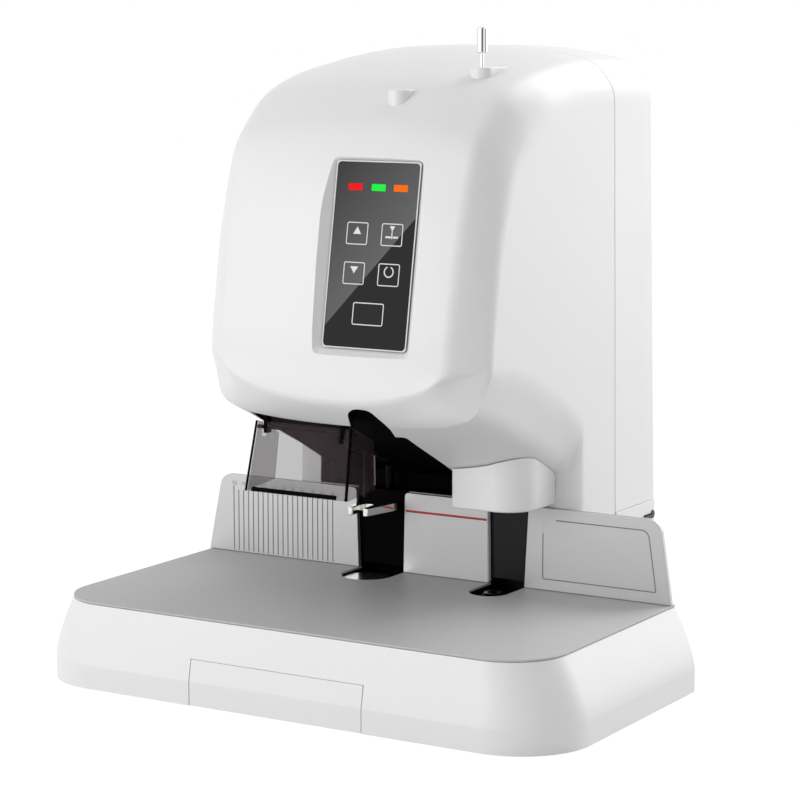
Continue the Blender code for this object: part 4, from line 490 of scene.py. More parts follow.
def grid_faces(rows: int, columns: int, wrap_rows: bool = False, wrap_columns: bool = False) -> Grid:
    """Return the quads of a grid of points, numbered row by row.

    Args:
        rows: rows of points.
        columns: points in a row.
        wrap_rows: join the last row to the first.
        wrap_columns: join the last column to the first.

    Returns:
        An array of quads, one line each.
    """
    row, column = np.meshgrid(np.arange(rows if wrap_rows else rows - 1),
                              np.arange(columns if wrap_columns else columns - 1), indexing="ij")
    below, right = (row + 1) % rows, (column + 1) % columns
    quads = np.stack([row * columns + column, row * columns + right,
                      below * columns + right, below * columns + column], axis=-1)
    return quads.reshape(-1, 4)


def capped_faces(rows: int, count: int, wrap: bool = True, ends: Sequence[int] = (0, -1)) -> list[list[int]]:
    """Return the quads of stacked rows of points, with a face over each end row that is named."""
    faces = grid_faces(rows, count, wrap_columns=wrap).tolist()
    return faces + [[end % rows * count + i for i in range(count)] for end in ends]


def make_mesh(name: str, points: Grid, faces: Sequence[Sequence[int]], weld: float = 1e-6) -> bpy.types.Mesh:
    """Put points and faces into a mesh, merge doubles and turn the faces outward.

    Args:
        name: the mesh's name.
        points: an array of points, one line each.
        faces: point numbers of each face.
        weld: the distance under which points become one.

    Returns:
        The new mesh.
    """
    mesh = bpy.data.meshes.new(name)
    mesh.from_pydata(np.asarray(points, dtype=float).reshape(-1, 3).tolist(), [], [list(f) for f in faces])
    work = bmesh.new()
    work.from_mesh(mesh)
    bmesh.ops.remove_doubles(work, verts=work.verts, dist=weld)
    bmesh.ops.dissolve_degenerate(work, edges=work.edges, dist=weld / 2)
    bmesh.ops.recalc_face_normals(work, faces=work.faces)
    work.to_mesh(mesh)
    work.free()
    return mesh


def rounded(corners: Sequence[Sequence[float]], steps: int = 8, closed: bool = True) -> Grid:
    """Return an outline with an arc in place of each corner (a, b, radius).

    The arc touches both edges: its centre is on the bisector at radius / sin(half angle),
    and its points turn evenly from one edge's normal to the other's.

    Args:
        corners: the corners in order, each with the radius of its arc.
        steps: edges in each arc.
        closed: whether the outline runs on from its last corner to its first.

    Returns:
        The outline's points.
    """
    pieces = []
    count = len(corners)
    for index, (a, b, radius) in enumerate(corners):
        here = np.array([a, b], dtype=float)
        if radius <= 0 or (not closed and index in (0, count - 1)):
            pieces.append(here[None])
            continue
        before = np.array(corners[index - 1][:2]) - here
        after = np.array(corners[(index + 1) % count][:2]) - here
        before, after = before / np.linalg.norm(before), after / np.linalg.norm(after)
        half = math.acos(float(np.clip(before @ after, -1, 1))) / 2
        middle = before + after
        centre = here + middle / np.linalg.norm(middle) * radius / math.sin(half)
        start = here + before * radius / math.tan(half) - centre
        end = here + after * radius / math.tan(half) - centre
        turn = math.atan2(start[0] * end[1] - start[1] * end[0], float(start @ end))
        angles = turn * np.linspace(0, 1, steps + 1)
        c, s = np.cos(angles), np.sin(angles)
        pieces.append(centre + np.stack([c * start[0] - s * start[1], s * start[0] + c * start[1]], axis=1))
    return np.concatenate(pieces)


def rectangle(centre: Sequence[float], size: Sequence[float], radius: float, steps: int = 6) -> Grid:
    """Return a rectangle's outline with rounded corners.

    Args:
        centre: its middle.
        size: its full width and height.
        radius: the radius of each corner.
        steps: edges in each corner.

    Returns:
        The outline's points, anticlockwise.
    """
    a, b = size[0] / 2, size[1] / 2
    x, y = centre
    return rounded([(x + a, y - b, radius), (x + a, y + b, radius), (x - a, y + b, radius),
                    (x - a, y - b, radius)], steps)


def turned_left(outline: Grid) -> Grid:
    """Return an outline in anticlockwise order: its signed area is made positive."""
    x, y = outline[:, 0], outline[:, 1]
    area = np.sum(x * np.roll(y, -1) - np.roll(x, -1) * y)
    return outline if area > 0 else outline[::-1]


def drawn_in(outline: Grid, distance: float) -> Grid:
    """Move an anticlockwise outline inward: each point goes along its mitre.

    The mitre is the sum of the two edge normals over one plus their dot product.

    Args:
        outline: the outline's points.
        distance: how far each edge moves.

    Returns:
        The moved points, one for each of the outline's.
    """
    run = np.roll(outline, -1, axis=0) - outline
    run /= np.linalg.norm(run, axis=1, keepdims=True) + 1e-12
    after = np.stack([-run[:, 1], run[:, 0]], axis=1)
    before = np.roll(after, 1, axis=0)
    mitre = (before + after) / (1 + np.sum(before * after, axis=1, keepdims=True)).clip(0.3)
    return outline + mitre * distance


def slab(name: str, outline: Grid, low: float, high: float, edge: float = 0.0,
         plane: Plane = Plane.LEVEL, steps: int = 3) -> bpy.types.Mesh:
    """Carry an outline straight from low to high, with rounded rims.

    Args:
        name: the mesh's name.
        outline: points in the plane's two axes.
        low: start along the third axis.
        high: end along the third axis.
        edge: the rims' radius: at angle a from the rim the outline is drawn in by
            edge * (1 - sin a) and stands edge * (1 - cos a) from the end.
        plane: which axes the outline and the path use.
        steps: faces round each rim.

    Returns:
        A closed mesh.
    """
    outline = turned_left(np.asarray(outline, dtype=float))
    angle = np.linspace(0, math.pi / 2, steps + 1) if edge > 0 else np.array([0.0])
    inset = edge * (1 - np.sin(angle))
    rise = edge * (1 - np.cos(angle))
    insets = np.concatenate([inset, inset[::-1]])
    heights = np.concatenate([low + rise, (high - rise)[::-1]])
    rings = np.stack([drawn_in(outline, d) for d in insets])
    count = len(outline)
    points = np.zeros((len(insets), count, 3))
    first, second, third = plane.value
    points[..., first], points[..., second] = rings[..., 0], rings[..., 1]
    points[..., third] = heights[:, None]
    faces = [list(q) for q in grid_faces(len(insets), count, wrap_columns=True)]
    faces.append(list(range(count))[::-1])
    faces.append([(len(insets) - 1) * count + i for i in range(count)])
    return make_mesh(name, points, faces)


def frame_slab(name: str, outer: Grid, inner: Grid, low: float, high: float,
               plane: Plane = Plane.LEVEL) -> bpy.types.Mesh:
    """Carry the band between two outlines from low to high.

    Args:
        name: the mesh's name.
        outer: the outer outline.
        inner: the inner outline, with as many points.
        low: start along the third axis.
        high: end along the third axis.
        plane: which axes the outlines and the path use.

    Returns:
        A closed mesh.
    """
    count = len(outer)
    points = np.zeros((4, count, 3))
    first, second, third = plane.value
    for row, (ring, height) in enumerate(((outer, low), (outer, high), (inner, high), (inner, low))):
        points[row, :, first], points[row, :, second], points[row, :, third] = ring[:, 0], ring[:, 1], height
    return make_mesh(name, points, grid_faces(4, count, True, True))


def lathe(name: str, profile: Grid, centre: Sequence[float], steps: int = 48,
          across: bool = False) -> bpy.types.Mesh:
    """Turn a (radius, height) profile about an axis through centre.

    A point at angle a is (r cos a, r sin a, h). The profile's ends are on the axis, or
    the profile closes on itself as a tube does.

    Args:
        name: the mesh's name.
        profile: radius and height of each point.
        centre: the axis's place, added to every point.
        steps: faces round the axis.
        across: turn about the X axis instead of the upright one.

    Returns:
        A closed mesh.
    """
    profile = np.asarray(profile, dtype=float)
    angle = np.linspace(0, 2 * math.pi, steps, endpoint=False)
    radius, height = profile[:, 0][:, None], np.repeat(profile[:, 1][:, None], steps, axis=1)
    parts = [radius * np.cos(angle), radius * np.sin(angle), height]
    if across:
        parts = [parts[2], parts[0], parts[1]]
    points = np.stack(parts, axis=-1) + np.asarray(centre, dtype=float)
    tube = profile[0, 0] > 1e-9
    return make_mesh(name, points, grid_faces(len(profile), steps, tube, True))


def box(name: str, low: Sequence[float], high: Sequence[float], edge: float = 0.0) -> bpy.types.Mesh:
    """Return a block between two corners, with rounded edges.

    Args:
        name: the mesh's name.
        low: the corner with the smallest coordinates.
        high: the corner with the largest coordinates.
        edge: the radius of every edge.

    Returns:
        A closed mesh.
    """
    outline = rectangle(((low[0] + high[0]) / 2, (low[1] + high[1]) / 2),
                        (high[0] - low[0], high[1] - low[1]), edge, 3)
    return slab(name, outline, low[2], high[2], edge)


def u_shape(x: float, y: float, radius: float, rear: float, count: int = 33) -> Grid:
    """Return a U-shaped plan: half a circle in front and straight sides to the rear.

    Args:
        x: the circle's centre across.
        y: the circle's centre from front to back.
        radius: the circle's radius.
        rear: where the straight sides end.
        count: points round the half circle.

    Returns:
        The plan's points.
    """
    turn = np.radians(np.linspace(180, 360, count))
    arc = np.stack([x + radius * np.cos(turn), y + radius * np.sin(turn)], axis=1)
    return np.vstack([arc, [(x + radius, rear), (x - radius, rear)]])


def pin(name: str, radius: float, start: float, end: float, centre: Sequence[float], steps: int,
        across: bool = False) -> bpy.types.Mesh:
    """Return a plain round cutter from start to end along its axis."""
    return lathe(name, [(0, start), (radius, start), (radius, end), (0, end)], centre, steps, across)


def joined(name: str, meshes: Sequence[bpy.types.Mesh]) -> bpy.types.Mesh:
    """Put several meshes into one and remove them.

    Args:
        name: the new mesh's name.
        meshes: the meshes, which are used up.

    Returns:
        The new mesh, with its parts not welded.
    """
    work = bmesh.new()
    for mesh in meshes:
        work.from_mesh(mesh)
        bpy.data.meshes.remove(mesh)
    result = bpy.data.meshes.new(name)
    work.to_mesh(result)
    work.free()
    return result


def moved(mesh: bpy.types.Mesh, matrix: Matrix) -> bpy.types.Mesh:
    """Apply a matrix to a mesh and return it."""
    mesh.transform(matrix)
    return mesh


def rough_object(mesh: bpy.types.Mesh) -> bpy.types.Object:
    """Link a mesh as a plain object, for shaping before it becomes a piece."""
    obj = bpy.data.objects.new(mesh.name, mesh)
    bpy.context.scene.collection.objects.link(obj)
    return obj


def settled(obj: bpy.types.Object) -> bpy.types.Mesh:
    """Apply every modifier of an object and remove the object.

    Args:
        obj: an object that isn't a piece yet.

    Returns:
        The shaped mesh, under the old mesh's name.
    """
    bpy.context.view_layer.update()
    shaped = bpy.data.meshes.new_from_object(obj.evaluated_get(bpy.context.evaluated_depsgraph_get()))
    old = obj.data
    name = old.name
    bpy.data.objects.remove(obj, do_unlink=True)
    bpy.data.meshes.remove(old)
    shaped.name = name
    return shaped


class Work(Enum):
    """What a tool solid does to a piece."""

    JOIN = "UNION"
    CUT = "DIFFERENCE"
    KEEP = "INTERSECT"


def shape_with(mesh: bpy.types.Mesh, *tools: tuple[Work, bpy.types.Mesh]) -> bpy.types.Mesh:
    """Join, cut or keep a mesh with tool solids in order, and remove the tools.

    Args:
        mesh: a closed mesh.
        tools: pairs of what to do and the solid to do it with.

    Returns:
        The shaped mesh.
    """
    obj = rough_object(mesh)
    helpers = []
    for work, tool in tools:
        helper = rough_object(tool)
        helpers.append(helper)
        modifier = obj.modifiers.new("work", "BOOLEAN")
        modifier.operation = work.value
        modifier.solver = "EXACT"
        modifier.object = helper
    shaped = settled(obj)
    for helper in helpers:
        data = helper.data
        bpy.data.objects.remove(helper, do_unlink=True)
        bpy.data.meshes.remove(data)
    return shaped


def walled(mesh: bpy.types.Mesh, thickness: float) -> bpy.types.Mesh:
    """Give an open surface a wall on its inner side.

    Args:
        mesh: the surface, which is used up.
        thickness: the wall's thickness.

    Returns:
        A closed mesh.
    """
    obj = rough_object(mesh)
    modifier = obj.modifiers.new("wall", "SOLIDIFY")
    modifier.thickness = thickness
    modifier.offset = -1.0
    modifier.use_even_offset = True
    modifier.use_quality_normals = True
    return settled(obj)


def add_piece(mesh: bpy.types.Mesh, finish: Finish, body: str, slot: str, *stands_for: str,
              sharp: float = 32.0) -> bpy.types.Object:
    """Make a mesh a piece of the object.

    Args:
        mesh: the finished mesh, in its place.
        finish: its surface finish.
        body: the body that it rides on.
        slot: the record's material slot; not used.
        stands_for: CAD nodes that it replaces.
        sharp: faces that meet at a greater angle, in degrees, keep a crisp edge.

    Returns:
        The piece.
    """
    mesh.materials.clear()
    mesh.materials.append(finish.material())
    mesh.shade_smooth()
    mesh.set_sharp_from_angle(angle=math.radians(sharp))
    obj = rough_object(mesh)
    weigh = obj.modifiers.new("weighted_normals", "WEIGHTED_NORMAL")
    weigh.keep_sharp = True
    weigh.weight = 80
    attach(obj, body)
    if stands_for:
        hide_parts(*stands_for)
    LOG.info("%s: %d faces on %s", obj.name, len(mesh.polygons), body)
    return obj


def dress_node(node: str, finish: Finish) -> None:
    """Give a CAD node's own object a finish."""
    obj = bpy.data.objects[node]
    if not obj.material_slots:
        obj.data.materials.append(None)
    for slot in obj.material_slots:
        slot.material = finish.material()
    LOG.info("%s: dressed with %s", node, finish.name)


# Places shared by the sub-assemblies
GAP = 0.0003
WALL = 0.0025
OVERRUN = 0.006
STATION_Y = 0.021
REAR_Y = 0.1805
FRONT_Y = -0.1805
DRILL_X = -0.0445
RIVET_X = 0.0698
TABLE_TOP = 0.0659
TABLE_SHEET = 0.0016
FENCE_TOP = 0.1307
FENCE_Y = STATION_Y + 0.0204
FENCE_THICKNESS = 0.0041
TOWER_FRONT_Y = FENCE_Y + FENCE_THICKNESS + GAP
SEAM_Y = STATION_Y + 0.087
TOWER_HALF_WIDTH = 0.1304
TOWER_DRAFT = 0.0143
TOWER_FOOT_Z = 0.002
SPLIT_Z = 0.1185
COVER_TOP = 0.205
NEEDLE_HOLDER = (0.0719, STATION_Y - 0.0250, 0.4672)
DRILL_NOTCH = (-0.0676, -0.0222)
RIVET_NOTCH = (0.0528, 0.0892)


@dataclass
class Panel:
    """The sunk control panel: its plate, keys, lights and board.

    Its own axes are u across, v up the slope and w out of the face.
    """

    centre: tuple[float, float, float] = (0.028, STATION_Y - 0.1105, 0.332)
    tilt: float = 9.6
    size: tuple[float, float] = (0.0712, 0.137)
    thickness: float = 0.002
    corner: float = 0.003
    key_size: tuple[float, float] = (0.0188, 0.0172)
    start_size: tuple[float, float] = (0.027, 0.0172)
    lamp_size: tuple[float, float] = (0.012, 0.005)
    lamp_row: float = 0.0497
    lamp_columns: tuple[float, float, float] = (-0.0188, 0.0011, 0.020)
    key_rows: tuple[float, float, float] = (0.0156, -0.0137, -0.0431)
    key_columns: tuple[float, float, float] = (-0.0139, 0.0159, 0.0011)
    key_corner: float = 0.0016
    lamp_corner: float = 0.0006
    flare: tuple[float, float] = (0.0085, 0.0100)
    recess_levels: tuple[float, float, float] = (-0.002, 0.008, 0.038)
    ink: float = 0.00006
    line: float = 0.00072

    def matrix(self) -> Matrix:
        """Return the panel's frame in the model."""
        tilt = math.radians(self.tilt)
        turn = Matrix(((1, 0, 0), (0, math.sin(tilt), -math.cos(tilt)),
                       (0, math.cos(tilt), math.sin(tilt))))
        return Matrix.Translation(Vector(self.centre)) @ turn.to_4x4()

    def recess(self) -> bpy.types.Mesh:
        """Return the flared block that sinks the panel into the head.

        Each ring is a rounded rectangle that grows with its height above the plate.

        Returns:
            A closed block, in the model's frame.
        """
        rings = []
        low, knee, _ = self.recess_levels
        for height in self.recess_levels:
            grow = (height - low) / (knee - low)
            size = [side + (GAP + flare * grow) * 2 for side, flare in zip(self.size, self.flare)]
            ring = rectangle((0, 0), size, self.corner + 0.003 * grow, 8)
            rings.append(np.column_stack([ring, np.full(len(ring), height)]))
        return moved(make_mesh("recess", np.stack(rings), capped_faces(3, len(rings[0]))), self.matrix())

    def keys(self) -> dict[str, tuple[float, float, tuple[float, float]]]:
        """Lay out the keys.

        Returns:
            Each key's centre across and up the plate and its size, by its name.
        """
        left, right, middle = self.key_columns
        high, low, bottom = self.key_rows
        return {
            "key_up": (left, high, self.key_size),
            "key_press": (right, high, self.key_size),
            "key_down": (left, low, self.key_size),
            "key_reset": (right, low, self.key_size),
            "key_start": (middle, bottom, self.start_size),
        }

    def lamps(self) -> dict[str, tuple[float, float]]:
        """Return each light's centre."""
        return {name: (u, self.lamp_row) for name, u in zip(LAMP_FINISHES, self.lamp_columns)}

    def print_on(self, name: str, outlines: Sequence[Grid], body: str) -> None:
        """Lay flat white ink shapes on the face, joined as one piece."""
        meshes = [slab(f"{name}_{i}", outline, 0.0, self.ink) for i, outline in enumerate(outlines)]
        add_piece(moved(joined(name, meshes), self.matrix()), KEY_INK, body, "key_film", sharp=60)

    def signs(self) -> dict[str, list[Grid]]:
        """Return the ink outlines of each key's sign, about the key's centre.

        An arrow is a triangle, the press sign is a funnel with a bar on each side, and the
        reset sign is an open ring: two arcs of the same turn at different radii.

        Returns:
            The outlines of each sign, by the key's name.
        """
        turn = np.radians(np.linspace(112, 112 + 316, 40))
        ring = np.stack([np.cos(turn), np.sin(turn)], axis=1)
        side = [(-0.0019, 0.0064), (-0.0019, 0.0055), (-0.0004, 0.0034), (-0.0004, -0.0030)]
        funnel = np.array(side + [(-u, v) for u, v in side[::-1]])
        bars = [rectangle((u, -0.0018), (0.0046, 0.0014), 0.0003, 2) for u in (-0.0031, 0.0031)]
        return {
            "key_up": [np.array([(-0.0034, -0.0005), (0.0034, -0.0005), (0, 0.0051)])],
            "key_press": [funnel, *bars],
            "key_down": [np.array([(-0.0034, 0.0050), (0, -0.0002), (0.0034, 0.0050)])],
            "key_reset": [np.concatenate([ring * 0.0042, ring[::-1] * 0.0033]) + (0, 0.0022)],
        }

    def build_plate(self) -> None:
        """Build the plate with a hole for every key and light, and its pale rim."""
        plate = slab("panel_face", rectangle((0, 0), self.size, self.corner), -self.thickness + GAP, 0, GAP)
        holes = [(u, v, size, self.key_corner) for u, v, size in self.keys().values()]
        holes += [(u, v, self.lamp_size, self.lamp_corner) for u, v in self.lamps().values()]
        tools = [(Work.CUT, slab(f"hole_{i}", rectangle((u, v), (w + 0.0001, h + 0.0001), r),
                                 -OVERRUN, OVERRUN)) for i, (u, v, (w, h), r) in enumerate(holes)]
        add_piece(moved(shape_with(plate, *tools), self.matrix()), PANEL, "machine", "panel_gloss",
                  "panel_plate")
        outer, inner = (rectangle((0, 0), (self.size[0] + grow, self.size[1] + grow), self.corner)
                        for grow in (0.0011, -GAP * 2.5))
        add_piece(moved(frame_slab("panel_rim", outer, inner, 0.00005, 0.0005), self.matrix()),
                  PALE_RIM_AND_HIGHLIGHT, "machine", "white_plastic")

    def build_keys(self) -> None:
        """Build each key's film with its inked border and sign."""
        signs = self.signs()
        for name, (u, v, size) in self.keys().items():
            body = name.removeprefix("key_") + "_key"
            film = slab(name + "_film", rectangle((u, v), size, self.key_corner), -0.0016, 0, 0.00012)
            add_piece(moved(film, self.matrix()), KEY_FILM, body, "key_film", name)
            outer = turned_left(rectangle((u, v), (size[0] - GAP * 2, size[1] - GAP * 2), self.key_corner))
            border = frame_slab(name + "_border", outer, drawn_in(outer, self.line), 0.0, self.ink)
            add_piece(moved(border, self.matrix()), KEY_INK, body, "key_film", sharp=60)
            if name in signs:
                self.print_on(name + "_sign", [sign + (u, v) for sign in signs[name]], body)

    def build(self) -> None:
        """Build the plate, the keys and the lights, and dress the board behind them."""
        self.build_plate()
        self.build_keys()
        for name, (u, v) in self.lamps().items():
            window = slab(name + "_window", rectangle((u, v), self.lamp_size, self.lamp_corner), -0.0018,
                          0.0, 0.0002)
            add_piece(moved(window, self.matrix()), LAMP_FINISHES[name], "machine", LAMP_SLOTS[name], name)
        dress_node("control_board", BOARD)


# Rows of the head: centre (forward, up), crease (across, forward, up), side edge
# (forward, up), rounding along the crown, down the band and round the side edge, and the
# band's bulge. Forward is a share of the reach from the seam, up of the head's top, and
# the rest are shares of the half width.
FACE_ROW_SHARES = (
    (0.000, 1.000, 0.801, 0.000, 0.976, 0.000, 0.922, 0.040, 0.040, 0.046, 0.023),
    (0.148, 0.998, 0.799, 0.148, 0.972, 0.157, 0.918, 0.040, 0.040, 0.046, 0.023),
    (0.310, 0.988, 0.798, 0.301, 0.963, 0.324, 0.906, 0.046, 0.046, 0.046, 0.023),
    (0.472, 0.970, 0.798, 0.476, 0.950, 0.453, 0.894, 0.060, 0.060, 0.046, 0.024),
    (0.624, 0.946, 0.798, 0.633, 0.926, 0.555, 0.869, 0.060, 0.060, 0.046, 0.025),
    (0.740, 0.911, 0.794, 0.735, 0.891, 0.633, 0.841, 0.050, 0.050, 0.046, 0.025),
    (0.823, 0.872, 0.790, 0.823, 0.849, 0.707, 0.802, 0.040, 0.040, 0.040, 0.023),
    (0.904, 0.779, 0.782, 0.877, 0.774, 0.767, 0.745, 0.035, 0.035, 0.040, 0.021),
    (0.941, 0.696, 0.775, 0.919, 0.696, 0.809, 0.686, 0.035, 0.035, 0.040, 0.018),
    (0.966, 0.623, 0.767, 0.945, 0.626, 0.839, 0.613, 0.035, 0.035, 0.040, 0.014),
    (0.985, 0.563, 0.761, 0.964, 0.572, 0.859, 0.563, 0.035, 0.035, 0.036, 0.009),
    (0.994, 0.510, 0.754, 0.971, 0.527, 0.866, 0.536, 0.038, 0.035, 0.036, 0.006),
    (0.999, 0.478, 0.721, 0.981, 0.510, 0.868, 0.527, 0.045, 0.035, 0.034, 0.003),
    (0.996, 0.463, 0.671, 0.986, 0.496, 0.869, 0.523, 0.050, 0.040, 0.032, 0.000),
    (0.971, 0.450, 0.679, 0.964, 0.477, 0.869, 0.520, 0.070, 0.060, 0.030, 0.000),
    (0.929, 0.435, 0.748, 0.925, 0.450, 0.865, 0.518, 0.115, 0.115, 0.032, 0.000),
    (0.895, 0.424, 0.840, 0.888, 0.437, 0.854, 0.515, 0.215, 0.230, 0.036, 0.000),
)
BELLY_ROW_SHARES = (
    (0.895, 0.424, 0.840, 0.888, 0.437, 0.854, 0.515, 0.215, 0.230, 0.036, 0.000),
    (0.763, 0.390, 0.859, 0.763, 0.416, 0.707, 0.501, 0.230, 0.230, 0.070, 0.000),
    (0.610, 0.354, 0.867, 0.610, 0.387, 0.569, 0.479, 0.230, 0.230, 0.076, 0.000),
    (0.448, 0.314, 0.874, 0.448, 0.357, 0.430, 0.448, 0.230, 0.230, 0.076, 0.000),
    (0.347, 0.288, 0.882, 0.347, 0.340, 0.324, 0.423, 0.200, 0.200, 0.060, 0.000),
)


def smooth_rows(table: Grid, steps: Sequence[int]) -> Grid:
    """Pass a smooth curve through a table's rows.

    Between rows b and c, with a before and d after, a row at share t is half of
    2b + (c-a)t + (2a-5b+4c-d)t^2 + (3b-a-3c+d)t^3.

    Args:
        table: one line for each row.
        steps: the number of rows made in each stretch.

    Returns:
        The denser table.
    """
    share = np.concatenate([i + np.arange(n) / n for i, n in enumerate(steps)] + [[len(table) - 1.0]])
    index = np.minimum(share.astype(int), len(table) - 2)
    t = (share - index)[:, None]
    padded = np.vstack([2 * table[0] - table[1], table, 2 * table[-1] - table[-2]])
    a, b, c, d = (padded[index + k] for k in range(4))
    return 0.5 * (2 * b + (c - a) * t + (2 * a - 5 * b + 4 * c - d) * t ** 2
                  + (3 * b - a - 3 * c + d) * t ** 3)


def eased_run(path: Grid, ease: float) -> Grid:
    """Return a path's direction at each point, eased along its length.

    The turning angle is read at even steps of length, averaged with the bell weights
    exp(-(distance / ease)^2 / 2), and read back at the points.

    Args:
        path: points in a plane.
        ease: the bell's width in metres.

    Returns:
        A unit direction for each point.
    """
    step = np.diff(path, axis=0)
    length = np.linalg.norm(step, axis=1)
    place = np.concatenate([[0], np.cumsum(length)])
    angle = np.unwrap(np.arctan2(step[:, 1], step[:, 0]))
    even = np.arange(0, place[-1], 0.0005)
    raw = np.interp(even, place[:-1] + length / 2, angle)
    reach = np.arange(-3 * ease, 3 * ease, 0.0005)
    bell = np.exp(-(reach / ease) ** 2 / 2)
    padded = np.pad(raw, len(bell) // 2, mode="edge")
    eased = np.convolve(padded, bell / bell.sum(), mode="same")[len(bell) // 2:][:len(raw)]
    at = np.interp(place, even, eased)
    return np.stack([np.cos(at), np.sin(at)], axis=1)


@dataclass
class Head:
    """The white head and tower front, and the two covers behind the seam."""

    half_width: float = TOWER_HALF_WIDTH
    draft_up: float = TOWER_DRAFT
    draft_forward: float = 0.030
    split_z: float = SPLIT_Z
    reach: float = 0.2163
    top: float = 0.4828
    foot_z: float = TOWER_FOOT_Z
    corner: float = 0.011
    crown_power: float = 2.6
    seam_gap: float = 0.0011
    rear_lean: float = 0.0070
    rear_edge: float = 0.003
    rear_drop: float = 0.0010
    holder_radius: float = 0.0086
    holder_bore: float = 0.0025
    holder_run: float = 0.030
    holder_depth: float = 0.024
    bore_depth: float = 0.020
    spare_holder: tuple[float, float, float] = (0.0246, STATION_Y - 0.0648, 0.4510)
    needle_holder: tuple[float, float, float] = NEEDLE_HOLDER
    mouth_top: float = 0.232
    lining: float = 0.0012
    cover_bottom: float = 0.1335

    def side_x(self, y: Grid, z: Grid) -> Grid:
        """Half width at a place: the sides draw in forward of the seam and upward."""
        return (self.half_width - self.draft_up * (z - self.split_z)
                - self.draft_forward * np.maximum(0, SEAM_Y - y))

    def guide_rows(self, fine: int = 5) -> tuple[Grid, Grid, Grid, Grid]:
        """Return the centre, crease and side points and the lengths of every row.

        Args:
            fine: rows made in each stretch of the tables.

        Returns:
            Three arrays of points and one of lengths, a line for each row.
        """
        face = smooth_rows(np.array(FACE_ROW_SHARES), (fine,) * (len(FACE_ROW_SHARES) - 1))
        belly = self.tower_join(fine)
        shares = np.vstack([face, belly[1:]])
        y_c, z_c = SEAM_Y - shares[:, 0] * self.reach, shares[:, 1] * self.top
        crease = np.stack([shares[:, 2] * self.half_width, SEAM_Y - shares[:, 3] * self.reach,
                           shares[:, 4] * self.top], axis=1)
        y_q, z_q = SEAM_Y - shares[:, 5] * self.reach, shares[:, 6] * self.top
        centre = np.stack([np.zeros_like(y_c), y_c, z_c], axis=1)
        edge = np.stack([self.side_x(y_q, z_q), y_q, z_q], axis=1)
        return centre, crease, edge, shares[:, 7:] * self.half_width

    def tower_join(self, fine: int) -> Grid:
        """Return the belly's rows and then the flat tower front's, in the table's shares.

        Args:
            fine: rows made in each stretch of the tables.

        Returns:
            The rows, with the columns of the table.
        """
        side_y = TOWER_FRONT_Y + self.corner
        rows = []
        for centre_z, crease_z, side_z in ((0.273, 0.334, 0.4035), (0.26175, 0.289, 0.3585),
                                           (0.0, 0.0, 0.0)):
            zs = np.maximum(np.array([centre_z, crease_z, side_z]) * self.top, self.foot_z)
            x = float(self.side_x(np.array(side_y), zs[2]))
            flat, deep = (SEAM_Y - TOWER_FRONT_Y) / self.reach, (SEAM_Y - side_y) / self.reach
            rows.append((flat, zs[0] / self.top, (x - self.corner) / self.half_width, flat,
                         zs[1] / self.top, deep, zs[2] / self.top, 0.030, 0.030, 0.030, 0.018))
        table = np.vstack([BELLY_ROW_SHARES, rows[:2]])
        curved = smooth_rows(table, (fine,) * (len(table) - 1))
        curved[:, 0] = np.maximum(curved[:, 0], rows[0][0])
        foot = np.array(rows[2])
        straight = curved[-1] + (foot - curved[-1]) * np.linspace(0, 1, 5)[1:, None]
        return np.vstack([curved, straight])

    def half_section(self, rows: tuple[Grid, Grid, Grid, Grid], run: Grid) -> Grid:
        """Return half of every cross-section, from the middle out to the side wall.

        The crown drops from the centre to the crease by the share of the way out to the
        crown's power. A curve (1-t)^2 A + 2t(1-t) P + t^2 B rounds the crease P. The band
        bulges outward by 4 s (1-s) of its bulge, and a second such curve turns it onto
        the side wall.

        Args:
            rows: the guide rows.
            run: the direction (y, z) in which the rows follow each other.

        Returns:
            An array of rows by points by coordinates.
        """
        centre, crease, edge, lengths = rows
        crown, band, side, bulge = (lengths[:, i][:, None] for i in range(4))
        out = np.linspace(0, 1, 15)[None]
        across = (crease[:, :1] - crown) * out
        share = (across / crease[:, :1]) ** self.crown_power
        top = centre[:, None] + (crease - centre)[:, None] * share[..., None]
        top[..., 0] = across
        slope = edge - crease
        span = np.linalg.norm(slope, axis=1, keepdims=True)
        slope = slope / span
        ahead = np.column_stack([np.zeros(len(run)), run])
        outward = np.cross(ahead, slope)
        outward /= np.linalg.norm(outward, axis=1, keepdims=True)

        def on_band(distance: Grid) -> Grid:
            """Return the bulged band's points at distances from the crease."""
            s = distance / span
            lift = bulge * 4 * s * (1 - s)
            return (crease[:, None] + slope[:, None] * distance[..., None]
                    + outward[:, None] * lift[..., None])

        start, end = np.minimum(band, span / 3), span - np.minimum(side, span / 3)
        t = np.linspace(0, 1, 7)[None, :, None]
        first = on_band(start)
        crease_turn = (1 - t) ** 2 * top[:, -1:] + 2 * t * (1 - t) * crease[:, None] + t ** 2 * first
        flat = on_band(start + (end - start) * np.linspace(0, 1, 9)[None])
        wall = np.zeros_like(edge)
        wall[:, 1] = edge[:, 1] - run[:, 1] * side[:, 0]
        wall[:, 2] = edge[:, 2] + run[:, 0] * side[:, 0]
        wall[:, 0] = self.side_x(wall[:, 1], wall[:, 2])
        last = flat[:, -1:]
        side_turn = (1 - t) ** 2 * last + 2 * t * (1 - t) * edge[:, None] + t ** 2 * wall[:, None]
        return np.concatenate([top, crease_turn[:, 1:], flat[:, 1:], side_turn[:, 1:]], axis=1)

    def full_grid(self) -> Grid:
        """Join every half section with its mirror image.

        Returns:
            The head's grid, each row from the left side wall to the right.
        """
        rows = self.guide_rows()
        run = eased_run(rows[2][:, 1:], 0.005)
        run[0] = (-1, 0)
        half = self.half_section(rows, run)
        mirror = half[:, :0:-1] * np.array([-1, 1, 1])
        return np.concatenate([mirror, half], axis=1)

